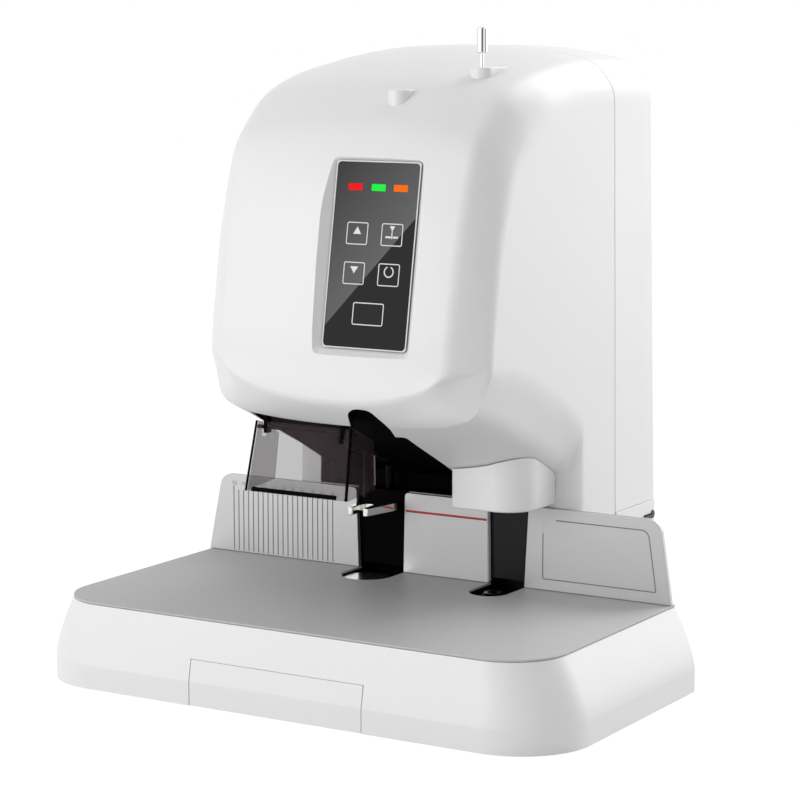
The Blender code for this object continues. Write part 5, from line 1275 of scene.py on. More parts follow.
    def skin(self, name: str, closed: bool) -> bpy.types.Mesh:
        """Skin the head and tower.

        Args:
            name: the mesh's name.
            closed: whether the seam and the foot are closed, for a solid block.

        Returns:
            The skin, with a side wall on each side.
        """
        grid = self.full_grid()
        rows, width = grid.shape[:2]
        foot_x = float(self.side_x(np.array(SEAM_Y), self.foot_z))
        points = np.vstack([grid.reshape(-1, 3), [(foot_x, SEAM_Y, self.foot_z)],
                            [(-foot_x, SEAM_Y, self.foot_z)]])
        right, left = rows * width, rows * width + 1
        faces = [list(q) for q in grid_faces(rows, width)]
        faces.append([r * width + width - 1 for r in range(rows)] + [right])
        faces.append([r * width for r in range(rows)] + [left])
        if closed:
            faces.append(list(range(width)) + [right, left])
            faces.append([(rows - 1) * width + c for c in range(width)] + [right, left])
        return make_mesh(name, points, faces, 1e-5)

    def holder(self, name: str, place: Sequence[float]) -> bpy.types.Mesh:
        """Return a tool holder: a round front that runs back into the slope.

        Args:
            name: the mesh's name.
            place: the bore's axis and the height of the holder's top.

        Returns:
            A closed block.
        """
        x, y, top = place
        plan = u_shape(x, y, self.holder_radius, y + self.holder_run, 25)
        return slab(name, plan, top - self.holder_depth, top, 0.0009)

    def mouth(self, inset: float, rear: float) -> Grid:
        """Return the plan of the opening under the head with its sight arch, drawn in by inset."""
        corners = [(0.0486, rear, 0), (0.0447, STATION_Y - 0.0895, 0.0035), (0.0357, STATION_Y - 0.0895, 0),
                   (0.0405, STATION_Y - 0.1073, 0.0223), (0.0344, STATION_Y - 0.1238, 0.0071),
                   (0.0158, STATION_Y - 0.1268, 0.0147), (0.0051, STATION_Y - 0.1035, 0),
                   (-0.086, STATION_Y - 0.1035, 0), (-0.105, rear, 0)]
        return drawn_in(rounded(corners, 10)[::-1], inset)

    def mouth_lining(self) -> bpy.types.Mesh:
        """Build the black edge round the opening.

        Returns:
            The edge, trimmed to the underside of the head, with room for the carriage.
        """
        rear = TOWER_FRONT_Y + WALL
        outer, inner = (self.mouth(inset, rear) for inset in (GAP, GAP + self.lining))
        ring = slab("mouth_ring", np.vstack([outer, inner[::-1]]), FENCE_TOP + GAP * 2, self.mouth_top)
        limit = moved(self.skin("lining_limit", True), Matrix.Translation((0, GAP * 2, GAP)))
        room = box("carriage_room", (-0.12, -0.004, 0.183), (-0.05, rear + WALL, 0.24))
        return shape_with(ring, (Work.KEEP, limit), (Work.CUT, room))

    def tools(self, panel: Panel) -> list[tuple[Work, bpy.types.Mesh]]:
        """Make every solid that shapes the shell.

        Args:
            panel: the panel that sinks into the head.

        Returns:
            Each solid with what it does, in the order of the work.
        """
        matrix = panel.matrix()
        pod_size = (panel.size[0] + 0.023, panel.size[1] + 0.023)
        limit = moved(self.skin("pod_limit", True), Matrix.Translation((0, 0.0012, 0)))
        pod = shape_with(moved(slab("pod", rectangle((0, 0), pod_size, 0.001, 2), -0.006, 0.030), matrix),
                         (Work.KEEP, limit))
        window = slab("window", rectangle((0, 0), (panel.size[0] - 0.006, panel.size[1] - 0.006), 0.001, 2),
                      -0.012, 0.006)
        rear = TOWER_FRONT_Y + WALL * 2
        found = [(Work.JOIN, pod), (Work.JOIN, self.holder("spare_holder", self.spare_holder)),
                 (Work.JOIN, self.holder("needle_holder", self.needle_holder)),
                 (Work.CUT, slab("mouth", self.mouth(0, rear), FENCE_TOP + GAP, self.mouth_top)),
                 (Work.CUT, box("port", (0.0525, STATION_Y - 0.020, self.cover_bottom + WALL),
                                (0.098, rear, COVER_TOP))),
                 (Work.CUT, panel.recess()), (Work.CUT, moved(window, matrix))]
        for name, notch in (("drill_notch", DRILL_NOTCH), ("rivet_notch", RIVET_NOTCH)):
            found.append((Work.CUT, box(name, (notch[0] - 0.0013, TOWER_FRONT_Y - OVERRUN, 0.0537),
                                        (notch[1] + 0.0013, rear, FENCE_TOP + GAP * 2))))
        found.append((Work.CUT, box("floor_pass", (-0.1169, TOWER_FRONT_Y - OVERRUN, -OVERRUN),
                                    (0.1169, rear, 0.0073))))
        for name, (x, y, top) in (("spare_bore", self.spare_holder), ("needle_bore", self.needle_holder)):
            found.append((Work.CUT, pin(name, self.holder_bore, top + OVERRUN, top - self.bore_depth,
                                        (x, y, 0), 24)))
        return found

    def rear_section(self, inset: float, drop: float, y: Callable[[Grid], Grid]) -> Grid:
        """Return one arch of the rear cover: the seam's section drawn in and lowered.

        Args:
            inset: how far it is drawn in.
            drop: how far it is lowered as well.
            y: the place from front to back as a function of the height.

        Returns:
            The arch's points, from the left foot over the top to the right.
        """
        rows = tuple(part[:1] for part in self.guide_rows(2))
        half = self.half_section(rows, np.array([(-1.0, 0.0)]))[0]
        x = np.maximum(0, half[:, 0] - inset)
        z = half[:, 2] - inset - drop
        foot = self.split_z + GAP
        levels = np.linspace(z[-1], foot, 12)[1:]
        x = np.concatenate([x, self.side_x(np.array(SEAM_Y), levels) - inset])
        z = np.concatenate([z, levels])
        arch = np.stack([x, y(z), z], axis=1)
        return np.vstack([arch[:0:-1] * np.array([-1, 1, 1]), arch])

    def rear_y(self, z: Grid) -> Grid:
        """Return where the leaning rear face is at a height."""
        return REAR_Y - self.rear_lean * np.maximum(0, z - self.split_z) / (self.top - self.split_z)

    def rear_cover(self) -> bpy.types.Mesh:
        """Build the tall rear cover: straight back from the seam, then a rounded rim.

        Round the rim at angle a the section is drawn in by edge * (1 - cos a) and stands
        edge * (1 - sin a) before the rear face.

        Returns:
            The cover, with its wall, open at the seam and below.
        """
        rows = []
        for share in np.linspace(0, 1, 7):
            rows.append(self.rear_section(0.0, self.rear_drop * share,
                                          lambda z, s=share: (SEAM_Y + self.seam_gap) * (1 - s)
                                          + (self.rear_y(z) - self.rear_edge) * s))
        for angle in np.linspace(0, math.pi / 2, 5)[1:]:
            inset = self.rear_edge * (1 - math.cos(angle))
            before = self.rear_edge * (1 - math.sin(angle))
            rows.append(self.rear_section(inset, self.rear_drop, lambda z, b=before: self.rear_y(z) - b))
        grid = np.stack(rows)
        faces = capped_faces(*grid.shape[:2], wrap=False, ends=(-1,))
        return walled(make_mesh("rear_cover_shell", grid, faces), WALL)

    def build(self, panel: Panel) -> None:
        """Build the shell with every opening, and the cover behind it."""
        shell = walled(self.skin("head_shell", False), WALL)
        add_piece(shape_with(shell, *self.tools(panel)), WHITE_SHELL, "machine", "white_plastic",
                  "front_shell", sharp=30)
        add_piece(self.rear_cover(), WHITE_SHELL, "machine", "white_plastic", "rear_cover", sharp=35)
        add_piece(self.mouth_lining(), LINING, "machine", "black_gloss")


@dataclass
class Base:
    """The white base, its table sheet, feet, floor and drawer."""

    width: float = 0.456
    corner: float = 0.057
    table_corner: float = 0.045
    skirt_low: float = 0.0006
    skirt_top: float = 0.0189
    side_inset: float = 0.0168
    front_inset: float = 0.0085
    taper: float = 1.4
    rear: float = STATION_Y + 0.0284
    drill_radius: float = 0.021
    rivet_radius: float = 0.016
    rivet_setback: float = 0.006
    rim: float = 0.0012
    drawer_half: float = 0.075
    drawer_top: float = 0.0351
    drawer_skin: float = 0.004
    drawer_depth: float = 0.122
    feet: tuple[tuple[str, float, float], ...] = (("front", 0.18696, -0.1355), ("rear", 0.101712, 0.1355))

    def outline(self, side: float, front: float, corner: float, back: float = 0.0) -> Grid:
        """Return the plan of the base for its insets and a corner radius."""
        half, rear = self.width / 2 - side, self.rear - back
        return rounded([(half, rear, 0), (-half, rear, 0), (-half, FRONT_Y + front, corner),
                        (half, FRONT_Y + front, corner)], 20)

    def insets(self, share: float) -> tuple[float, float, float]:
        """Return both insets and the corner at a share of the way up the slope.

        The sides draw in by the share to the taper's power, and the front evenly.
        """
        return (self.side_inset * share ** self.taper, self.front_inset * share,
                self.corner + (self.table_corner - self.corner) * share)

    def ring(self, z: float, share: float, extra: float = 0.0) -> Grid:
        """Return one level of the housing."""
        side, front, corner = self.insets(share)
        plan = self.outline(side + extra, front + extra, corner, extra)
        return np.column_stack([plan, np.full(len(plan), z)])

    def housing(self) -> bpy.types.Mesh:
        """Build the housing from levels: the skirt, the slope, a rounded rim and the lid.

        Returns:
            The housing, with its openings cut.
        """
        top = TABLE_TOP - TABLE_SHEET - GAP
        rings = [self.ring(self.skirt_low, 0), self.ring(self.skirt_low + 0.009, 0)]
        rings.append(self.ring(self.skirt_top - 0.0008, 0))
        inner = [self.ring(self.skirt_low, 0, WALL), self.ring(self.skirt_top, 0, WALL)]
        for share in np.linspace(0, 1, 12):
            rings.append(self.ring(self.skirt_top + (top - self.rim - self.skirt_top) * share, share))
        for share in np.linspace(0, 1, 5)[1:]:
            inner.append(self.ring(self.skirt_top + (top - WALL - self.skirt_top) * share, share, WALL))
        for angle in np.linspace(0, math.pi / 2, 4)[1:]:
            drop, inward = self.rim * (1 - math.sin(angle)), self.rim * (1 - math.cos(angle)) * 0.5
            rings.append(self.ring(top - drop, 1, inward))
        grid = np.stack(inner[::-1] + rings)
        shell = make_mesh("base_shell", grid, capped_faces(*grid.shape[:2]))
        mouth = box("drawer_mouth", (-self.drawer_half - GAP, FRONT_Y - OVERRUN, -OVERRUN),
                    (self.drawer_half + GAP, FRONT_Y + self.drawer_skin * 3, self.drawer_top + GAP))
        drill, rivet = self.well_tools(0.0023, TABLE_TOP / 2)
        return shape_with(shell, (Work.CUT, mouth), (Work.CUT, self.tower_room()), (Work.CUT, drill),
                          (Work.CUT, rivet))

    def tower_room(self) -> bpy.types.Mesh:
        """Return the block that clears the tower out of the base and table."""
        half = TOWER_HALF_WIDTH + TOWER_DRAFT * (SPLIT_Z - TOWER_FOOT_Z) + GAP * 2
        return box("tower_room", (-half, TOWER_FRONT_Y - GAP, -OVERRUN), (half, SEAM_Y, TABLE_TOP + OVERRUN))

    def well_tools(self, extra: float, low: float) -> tuple[bpy.types.Mesh, bpy.types.Mesh]:
        """Make the cutters of both wells.

        Args:
            extra: how much wider than the well each radius is.
            low: where the cutters start.

        Returns:
            The drill's cutter and the press's.
        """
        rear = FENCE_Y + 0.018
        drill = u_shape(DRILL_X, STATION_Y, self.drill_radius + extra, rear)
        rivet = u_shape(RIVET_X, STATION_Y - self.rivet_setback, self.rivet_radius + extra, rear)
        return (slab("drill_cut", drill, low, TABLE_TOP + OVERRUN),
                slab("rivet_cut", rivet, low, TABLE_TOP + OVERRUN))

    def table(self) -> bpy.types.Mesh:
        """Build the table sheet.

        Returns:
            The sheet with its two U-shaped cut-outs, cleared of the tower.
        """
        side, front, corner = self.insets(1)
        sheet = slab("table_sheet", self.outline(side + GAP, front + GAP, corner), TABLE_TOP - TABLE_SHEET,
                     TABLE_TOP, 0.0004)
        drill, rivet = self.well_tools(0, TABLE_TOP - OVERRUN)
        return shape_with(sheet, (Work.CUT, self.tower_room()), (Work.CUT, drill), (Work.CUT, rivet))

    def drawer(self) -> bpy.types.Mesh:
        """Build the drawer.

        Returns:
            A front that follows the base's slope, with a tray behind it.
        """
        low, half, end = self.skirt_low + GAP, self.drawer_half - GAP, FRONT_Y + self.drawer_depth
        inset = self.front_inset * (self.drawer_top - self.skirt_top) / (TABLE_TOP - self.skirt_top)
        back = FRONT_Y + inset + self.drawer_skin
        profile = rounded([(FRONT_Y, low, 0.0003), (back, low, 0), (back, self.drawer_top, 0),
                           (FRONT_Y + inset, self.drawer_top, 0.0004), (FRONT_Y, self.skirt_top, 0.010)], 6)
        front = slab("drawer_front", profile, -half, half, 0.0004, Plane.SIDE)
        tray = box("tray", (-0.071, back - WALL, 0.0096), (0.071, end, 0.031))
        hollow = box("tray_hollow", (-0.069, back, 0.0116), (0.069, end - 0.002, 0.037))
        return shape_with(front, (Work.JOIN, tray), (Work.CUT, hollow))

    def foot(self, name: str, x: float, y: float) -> bpy.types.Mesh:
        """Build a rubber foot: a disc with a rounded rim and a dished sole."""
        profile = rounded([(0, 0.0008, 0), (0.006, 0.0008, 0.001), (0.008, 0, 0.001), (0.012, 0, 0.0012),
                           (0.0114, 0.0037, 0.0006), (0, 0.0037, 0)], 5, closed=False)
        return lathe(name, profile, (x, y, 0), 40)

    def build(self) -> None:
        """Build every piece of the base."""
        add_piece(self.housing(), WHITE_SHELL, "machine", "white_plastic", "base_housing", sharp=32)
        add_piece(self.table(), TABLE_PAINT, "machine", "table_grey", "table_plate")
        add_piece(self.drawer(), WHITE_SHELL, "drawer_body", "white_plastic", "drawer")
        for side, name in ((-1, "left"), (1, "right")):
            for place, x, y in self.feet:
                node = f"foot_{place}_{name}"
                add_piece(self.foot(node + "_rubber", side * x, y), RUBBER, "machine", "foot_rubber", node)
        dress_node("base_floor", ZINC)
        for name in ("drawer_runner_left", "drawer_runner_right"):
            dress_node(name, ZINC)


@dataclass
class Wells:
    """The two black liners with the drilling disc and the lower rivet die."""

    depth: float = 0.0119
    wall: float = 0.002
    disc_radius: float = 0.019
    die_radius: float = 0.009

    def liner(self, name: str, x: float, y: float, radius: float,
              notch: tuple[float, float]) -> bpy.types.Mesh:
        """Build a liner: a U-shaped cup under the table and a channel up behind the fence.

        Args:
            name: the mesh's name.
            x: the middle of the cup across the table.
            y: the centre of the cup's round front.
            radius: the cup's radius inside.
            notch: the left and right edge of the fence's notch.

        Returns:
            The liner as one closed mesh.
        """
        bottom, cup_top = TABLE_TOP - self.depth, TABLE_TOP - TABLE_SHEET - GAP
        back = FENCE_Y + 0.0226
        front = TOWER_FRONT_Y
        left, right = notch[0] - self.wall / 2, notch[1] + self.wall / 2
        outer = slab(name, u_shape(x, y, radius + 0.002, front + self.wall), bottom, cup_top, 0.0003)
        inner = u_shape(x, y, radius - GAP, front + self.wall * 2)
        return shape_with(
            outer,
            (Work.JOIN, box("channel", (left, front, bottom), (right, back, FENCE_TOP), 0.0004)),
            (Work.CUT, slab("cup_hollow", inner, bottom + self.wall, cup_top + OVERRUN)),
            (Work.CUT, box("channel_hollow", (left + self.wall, front - OVERRUN, cup_top + GAP),
                           (right - self.wall, back - self.wall, FENCE_TOP + OVERRUN))),
            (Work.CUT, box("channel_foot", (x - radius + GAP, front - OVERRUN / 3, bottom + self.wall),
                           (x + radius - GAP, back - self.wall, cup_top + OVERRUN))))

    def build(self, base: Base) -> None:
        """Build both liners, the disc and the die."""
        drill = self.liner("drill_liner", DRILL_X, STATION_Y, base.drill_radius, DRILL_NOTCH)
        add_piece(drill, LINING, "machine", "black_gloss", "drill_well")
        rivet = self.liner("rivet_liner", RIVET_X, STATION_Y - base.rivet_setback, base.rivet_radius,
                           RIVET_NOTCH)
        add_piece(rivet, BLACK_GLOSS, "machine", "black_gloss", "rivet_well")
        seat = TABLE_TOP - self.depth + self.wall + GAP
        top = TABLE_TOP - 0.0023
        disc = rounded([(0, top, 0), (self.disc_radius, top, 0.0004), (self.disc_radius, seat, 0.0003),
                        (0, seat, 0)], 4, closed=False)
        add_piece(lathe("drilling_disc_turned", disc, (DRILL_X, STATION_Y, 0), 64), BRIGHT_STEEL, "machine",
                  "bright_steel", "drilling_disc")
        top = TABLE_TOP - 0.0014
        r = self.die_radius
        die = rounded([(0, top - r / 6, 0), (r / 3, top - r / 6, 0.0006), (r / 2, top, 0.0006),
                       (r * 0.8, top, 0.0005), (r, top - r / 5, 0.0005), (r, seat, 0.0003), (0, seat, 0)],
                      5, closed=False)
        add_piece(lathe("lower_die_turned", die, (RIVET_X, STATION_Y, 0), 56), DARK_STEEL_AND_SHADE, "machine",
                  "bright_steel", "lower_rivet_die")


@dataclass
class Fence:
    """The three silver plates, with the scale and the lines printed on them."""

    half_bottom: float = 0.211
    half_top: float = 0.201
    corner: float = 0.011
    inner_corner: float = 0.003
    ink: float = 0.00005
    pitch: float = 0.00484
    scale_start: float = -0.187
    scale_lines: int = 21
    mark_low: float = 0.0675
    mark_top: float = 0.1180
    first_mark_top: float = 0.1212
    mark_width: float = 0.0009
    figure_z: float = 0.1237
    figure_height: float = 0.0026
    stripe: tuple[float, float, float] = (-0.0215, 0.0524, 0.1162)
    stripe_width: float = 0.0018
    frame_width: float = 0.0008

    def outlines(self) -> dict[str, Grid]:
        """Lay out the three plates.

        Returns:
            Each plate's outline in X and Z, by its name.
        """
        low, high = TABLE_TOP + GAP, FENCE_TOP
        corners = {
            "fence_left": [(-self.half_bottom - 0.0008, low, 0.0006), (-0.0655, low, 0.0006),
                           (DRILL_NOTCH[0], high, self.inner_corner),
                           (0.0025 - self.half_top, high, self.corner)],
            "fence_middle": [(-0.0236, low, 0.0006), (0.0537, low, 0.0006),
                             (RIVET_NOTCH[0], high, self.inner_corner),
                             (DRILL_NOTCH[1], high, self.inner_corner)],
            "fence_right": [(0.0857, low, 0.0006), (self.half_bottom, low, 0.0006),
                            (self.half_top, high, self.corner), (RIVET_NOTCH[1], high, self.inner_corner)],
        }
        return {name: rounded(points, 8) for name, points in corners.items()}

    def line(self, name: str, x0: float, z0: float, x1: float, z1: float, width: float) -> bpy.types.Mesh:
        """Return a printed line between two points of the fence's face.

        Args:
            name: the mesh's name.
            x0: the first end across the fence.
            z0: the first end's height.
            x1: the second end across the fence.
            z1: the second end's height.
            width: the line's full width.

        Returns:
            The line as a thin slab, half of it sunk in the fence.
        """
        a, b = np.array([x0, z0]), np.array([x1, z1])
        side = np.array([-(b - a)[1], (b - a)[0]]) / np.linalg.norm(b - a) * width / 2
        outline = np.array([a - side, b - side, b + side, a + side])
        return slab(name, outline, FENCE_Y - self.ink, FENCE_Y + self.ink, plane=Plane.FRONT)

    def number(self, text: str, x: float, z: float, height: float) -> bpy.types.Mesh:
        """Return a printed number, centred on a point of the fence's face.

        A figure is a choice from seven strokes, as on a stencil: each stroke runs
        between two corners of an upright pair of squares and stops a pen's width short.

        Args:
            text: the number's figures.
            x: the middle across the fence.
            z: the middle's height.
            height: the height of a figure.

        Returns:
            The strokes as one mesh.
        """
        corners = {"a": (0, 2, 1, 2), "b": (1, 2, 1, 1), "c": (1, 1, 1, 0), "d": (0, 0, 1, 0),
                   "e": (0, 1, 0, 0), "f": (0, 2, 0, 1), "g": (0, 1, 1, 1)}
        figures = ("abcdef", "bc", "abged", "abgcd", "fgbc", "afgcd", "afgedc", "abc", "abcdefg", "abcfgd")
        side, pen = height / 2, height * 0.22
        strokes = []
        for place, figure in enumerate(text):
            left = x + (place - (len(text) - 1) / 2) * side * 1.62 - side / 2
            for stroke in figures[int(figure)]:
                x0, z0, x1, z1 = (value * side for value in corners[stroke])
                trim_x, trim_z = (pen * 0.6 * float(np.sign(b - a)) for a, b in ((x0, x1), (z0, z1)))
                strokes.append(self.line("stroke", left + x0 + trim_x, z - side + z0 + trim_z,
                                         left + x1 - trim_x, z - side + z1 - trim_z, pen))
        return joined("number", strokes)

    def build(self) -> None:
        """Build the plates, the scale with its numbers, the red line and the bare frame."""
        for name, outline in self.outlines().items():
            plate = slab(name + "_sheet", outline, FENCE_Y, FENCE_Y + FENCE_THICKNESS, 0.0004, Plane.FRONT)
            add_piece(plate, FENCE_METAL, "machine", "fence_silver", name)
        marks = []
        for index in range(self.scale_lines):
            x = self.scale_start + self.pitch * index
            top = self.mark_top if index else self.first_mark_top
            marks.append(self.line(f"mark_{index}", x, self.mark_low, x, top, self.mark_width))
        for index, value in enumerate(range(150, 40, -10)):
            x = self.scale_start + self.pitch * 2 * index
            marks.append(self.number(str(value), x, self.figure_z, self.figure_height))
        add_piece(joined("scale_marks", marks), SCALE_INK, "machine", "fence_silver", sharp=60)
        start, end, level = self.stripe
        red = self.line("red_line", start, level, end, level, self.stripe_width)
        add_piece(red, RED_INK, "machine", "fence_silver", sharp=60)
        path = rounded([(0.1130, 0.1217, 0), (0.1915, 0.1217, 0.0065), (0.1985, 0.0750, 0.0008),
                        (0.1020, 0.0750, 0.0015), (0.1020, 0.1110, 0)], 8, closed=False)
        bars = [self.line(f"bar_{i}", *a, *b, self.frame_width)
                for i, (a, b) in enumerate(zip(path[:-1], path[1:]))]
        add_piece(joined("bare_label_frame", bars), SCALE_INK, "machine", "fence_silver", sharp=60)
        # Painted highlight: a pale strip on the end face of the fence's notch stands in for the bright
        # reflection on that silver edge.
        rear = FENCE_Y + FENCE_THICKNESS
        ends = np.array([(0.0537, TABLE_TOP + 0.0012), (0.0528, FENCE_TOP - self.inner_corner),
                         (0.0532, FENCE_TOP - self.inner_corner), (0.0541, TABLE_TOP + 0.0012)])
        edge = slab("notch_return", ends, FENCE_Y + 0.0003, rear, plane=Plane.FRONT)
        add_piece(edge, PALE_RIM_AND_HIGHLIGHT, "machine", "fence_silver")


@dataclass
class Mouth:
    """What hangs under the head: the roof, the smoked guard, the press cover and the fork."""

    guard_wall: float = 0.002
    bend: float = 0.0022
    pivot: tuple[float, float] = (STATION_Y - 0.0885, 0.1935)
    ear_x: float = 0.035
    ear_room: float = 0.0025
    pin_radius: float = 0.0015
    pin_half: float = 0.0437
    fork_low: float = 0.1157
    fork_sheet: float = 0.0065
    rod_radius: float = 0.0035
    rod_top: float = 0.312
    press_bore: float = 0.012

    def guard_grid(self, grow: float = 0.0) -> Grid:
        """Return the guard's sheet as levels of points, moved outward by grow.

        Every level is the same plan with its corners rounded: the top and bottom plans
        are joined by straight lines.

        Args:
            grow: the distance outward.

        Returns:
            An array of levels by points by coordinates.
        """
        def plan(half: float, front: float, rear: float) -> Grid:
            """Return one level's plan, a U open to the rear, for its half width and two ends."""
            left, right = DRILL_X - half - grow, DRILL_X + half + grow
            bend = self.bend + grow
            return rounded([(left, rear, 0), (left, front - grow, bend), (right, front - grow, bend),
                            (right, rear, 0)], 5, closed=False)

        top = plan(0.044, STATION_Y - 0.092, STATION_Y - 0.062)
        bottom = plan(0.0467, STATION_Y - 0.104, STATION_Y - 0.064)
        top_z, low_z = np.full(len(top), 0.1985), np.full(len(top), 0.1455)
        top_z[0] = top_z[-1] = 0.1855
        low_z[0] = low_z[-1] = 0.149
        levels = np.linspace(0, 1, 5)[:, None, None]
        high = np.column_stack([top, top_z])[None]
        return high + (np.column_stack([bottom, low_z])[None] - high) * levels

    def guard(self) -> bpy.types.Mesh:
        """Build the guard.

        Returns:
            One sheet bent round two upright corners, with room for the pin and its ears.
        """
        grid = self.guard_grid()
        sheet = walled(make_mesh("guard_sheet", grid, grid_faces(*grid.shape[:2])), self.guard_wall)
        y, z = self.pivot
        tools = [(Work.CUT, pin("guard_bore", 0.0018, -0.07, 0.07, (DRILL_X, y, z), 24, across=True))]
        for side in (-1, 1):
            x = DRILL_X + side * self.ear_x
            tools.append((Work.CUT, box("ear_room", (x - self.ear_room, y - 0.0065, z - 0.0065),
                                        (x + self.ear_room, y + 0.0065, 0.2045))))
        return shape_with(sheet, *tools)

    def build_guard(self) -> None:
        """Build the guard, its dark strips, a painted highlight on its rear edge, and the pin."""
        add_piece(self.guard(), SMOKE, "guard_body", "smoked_clear", "drill_guard")
        grid = self.guard_grid(0.0004)
        inward = grid[:, 5:6] + (grid[:, 7:8] - grid[:, 5:6]) * 0.014
        corners = [walled(make_mesh("guard_corner", part, grid_faces(*part.shape[:2])), 0.0003)
                   for part in (np.concatenate([grid[:, 2:6], inward], axis=1), grid[:, 7:11])]
        lean = math.atan2(0.012, 0.053)
        place = (Matrix.Translation((DRILL_X, STATION_Y - 0.104, 0.1455))
                 @ Matrix.Rotation(math.radians(90) - lean, 4, "X"))
        strip = np.array([(-0.0402, 0.0002), (0.0370, 0.0002), (0.0370, 0.0036), (-0.0392, 0.0036)])
        corners.append(moved(slab("guard_strip", strip, 0.00005, 0.0005), place))
        add_piece(joined("guard_trims", corners), LINING, "guard_body", "black_satin")
        # Painted highlight: a thin pale pink strip on the guard's rear edge stands in for the light that the
        # clear sheet's edge catches.
        edge = (np.array([(0.0453, -0.0619, 0.1745), (0.0466, -0.0633, 0.1520)])
                + (DRILL_X, STATION_Y, 0))
        rim = edge[:, None] + np.array([(-0.0012, 0, 0), (0, 0, 0)])
        add_piece(walled(make_mesh("guard_rim", rim, grid_faces(2, 2)), 0.0003), GUARD_EDGE_HIGHLIGHT, "guard_body",
                  "smoked_clear")
        y, z = self.pivot
        r, half = self.pin_radius, self.pin_half
        rod = rounded([(0, -half, 0), (r, -half, 0.0003), (r, half, 0.0003), (0, half, 0)], 3, closed=False)
        add_piece(lathe("guard_pin_turned", rod, (DRILL_X, y, z), 24, across=True), DARK_STEEL_AND_SHADE, "guard_body",
                  "bright_steel", "guard_pin")

    def press_cover(self, head: Head) -> bpy.types.Mesh:
        """Build the white cover that hangs round the press.

        Args:
            head: the head that the cover meets.

        Returns:
            A cup whose rim is trimmed to the underside of the head.
        """
        front, rear, low, high = STATION_Y - 0.030, TOWER_FRONT_Y - GAP, head.cover_bottom, COVER_TOP

        def plan(inset: float) -> Grid:
            """Return the cup's plan, drawn in by inset."""
            left, right = 0.0490 + inset, 0.110 - inset
            return rounded([(left, rear - inset, 0), (left, front + inset, 0.0030),
                            (right, front + inset, 0.025 - inset), (right, rear - inset, 0)], 14)

        block = slab("press_cover_cup", plan(0), low, high, 0.0016)
        bore = pin("press_bore", self.press_bore, low - OVERRUN, low + OVERRUN, (RIVET_X, STATION_Y, 0), 40)
        limit = moved(head.skin("cover_limit", True), Matrix.Translation((0, -GAP * 1.5, -GAP * 3)))
        return shape_with(block, (Work.CUT, slab("cup_hollow", plan(WALL), low + WALL, high + OVERRUN)),
                          (Work.CUT, bore), (Work.CUT, limit))

    def build_fork(self) -> None:
        """Build the chromed fork, two prongs round the bit and a foot behind them, and its rod, darkened to
        near black as painted shade.
        """
        outer, slot = 0.0089, 0.0048
        front, waist = STATION_Y - 0.0155, STATION_Y + 0.004
        shoulder, rear = STATION_Y + 0.0190, STATION_Y + 0.038
        x = DRILL_X
        plan = rounded([(x - outer, front, 0.0019), (x - slot, front, 0.0019), (x - slot, waist, 0.0043),
                        (x + slot, waist, 0.0043), (x + slot, front, 0.0019), (x + outer, front, 0.0019),
                        (x + 0.016, shoulder, 0.004), (x + 0.016, rear, 0.0019), (x - 0.016, rear, 0.0019),
                        (x - 0.016, shoulder, 0.004)], 6)
        low, seat = self.fork_low, self.fork_low + self.fork_sheet
        r, top = self.rod_radius, self.rod_top
        rod = rounded([(0, seat, 0), (r, seat, 0), (r, top, 0.0005), (0, top, 0)], 4, closed=False)
        add_piece(slab("press_fork", plan, low, seat, 0.0006), CHROME, "foot", "chrome_foot", "press_foot")
        add_piece(lathe("fork_rod", rod, (x, STATION_Y + 0.0335, 0), 24), DARK_STEEL_AND_SHADE, "foot", "chrome_foot")

    def build(self, head: Head) -> None:
        """Build everything under the head."""
        self.build_guard()
        add_piece(self.press_cover(head), WHITE_SHELL, "machine", "white_plastic", "press_cover")
        self.build_fork()
        dress_node("head_roof", LINING)


@dataclass
class Needle:
    """The clearing needle with its long round knob."""

    place: tuple[float, float, float] = NEEDLE_HOLDER
    radius: float = 0.00125
    knob_radius: float = 0.0041
    knob_lift: float = 0.0105
    knob_length: float = 0.0193

    def build(self) -> None:
        """Turn the needle and its knob as one profile."""
        x, y, top = self.place
        foot, knob = top - 0.020 + GAP, top + self.knob_lift
        high = knob + self.knob_length
        r = self.knob_radius
        profile = rounded([(0, high, 0), (r - 0.0011, high, 0.0003), (r, high - 0.0011, 0.0005),
                           (r, knob + 0.0009, 0.0005), (r - 0.0009, knob, 0.0003),
                           (self.radius, knob, 0.0002), (self.radius, foot + self.radius, 0.0003),
                           (0, foot, 0)], 4, closed=False)
        add_piece(lathe("needle_turned", profile, (x, y, 0), 48), CHROME, "needle", "bright_steel",
                  "clearing_needle")


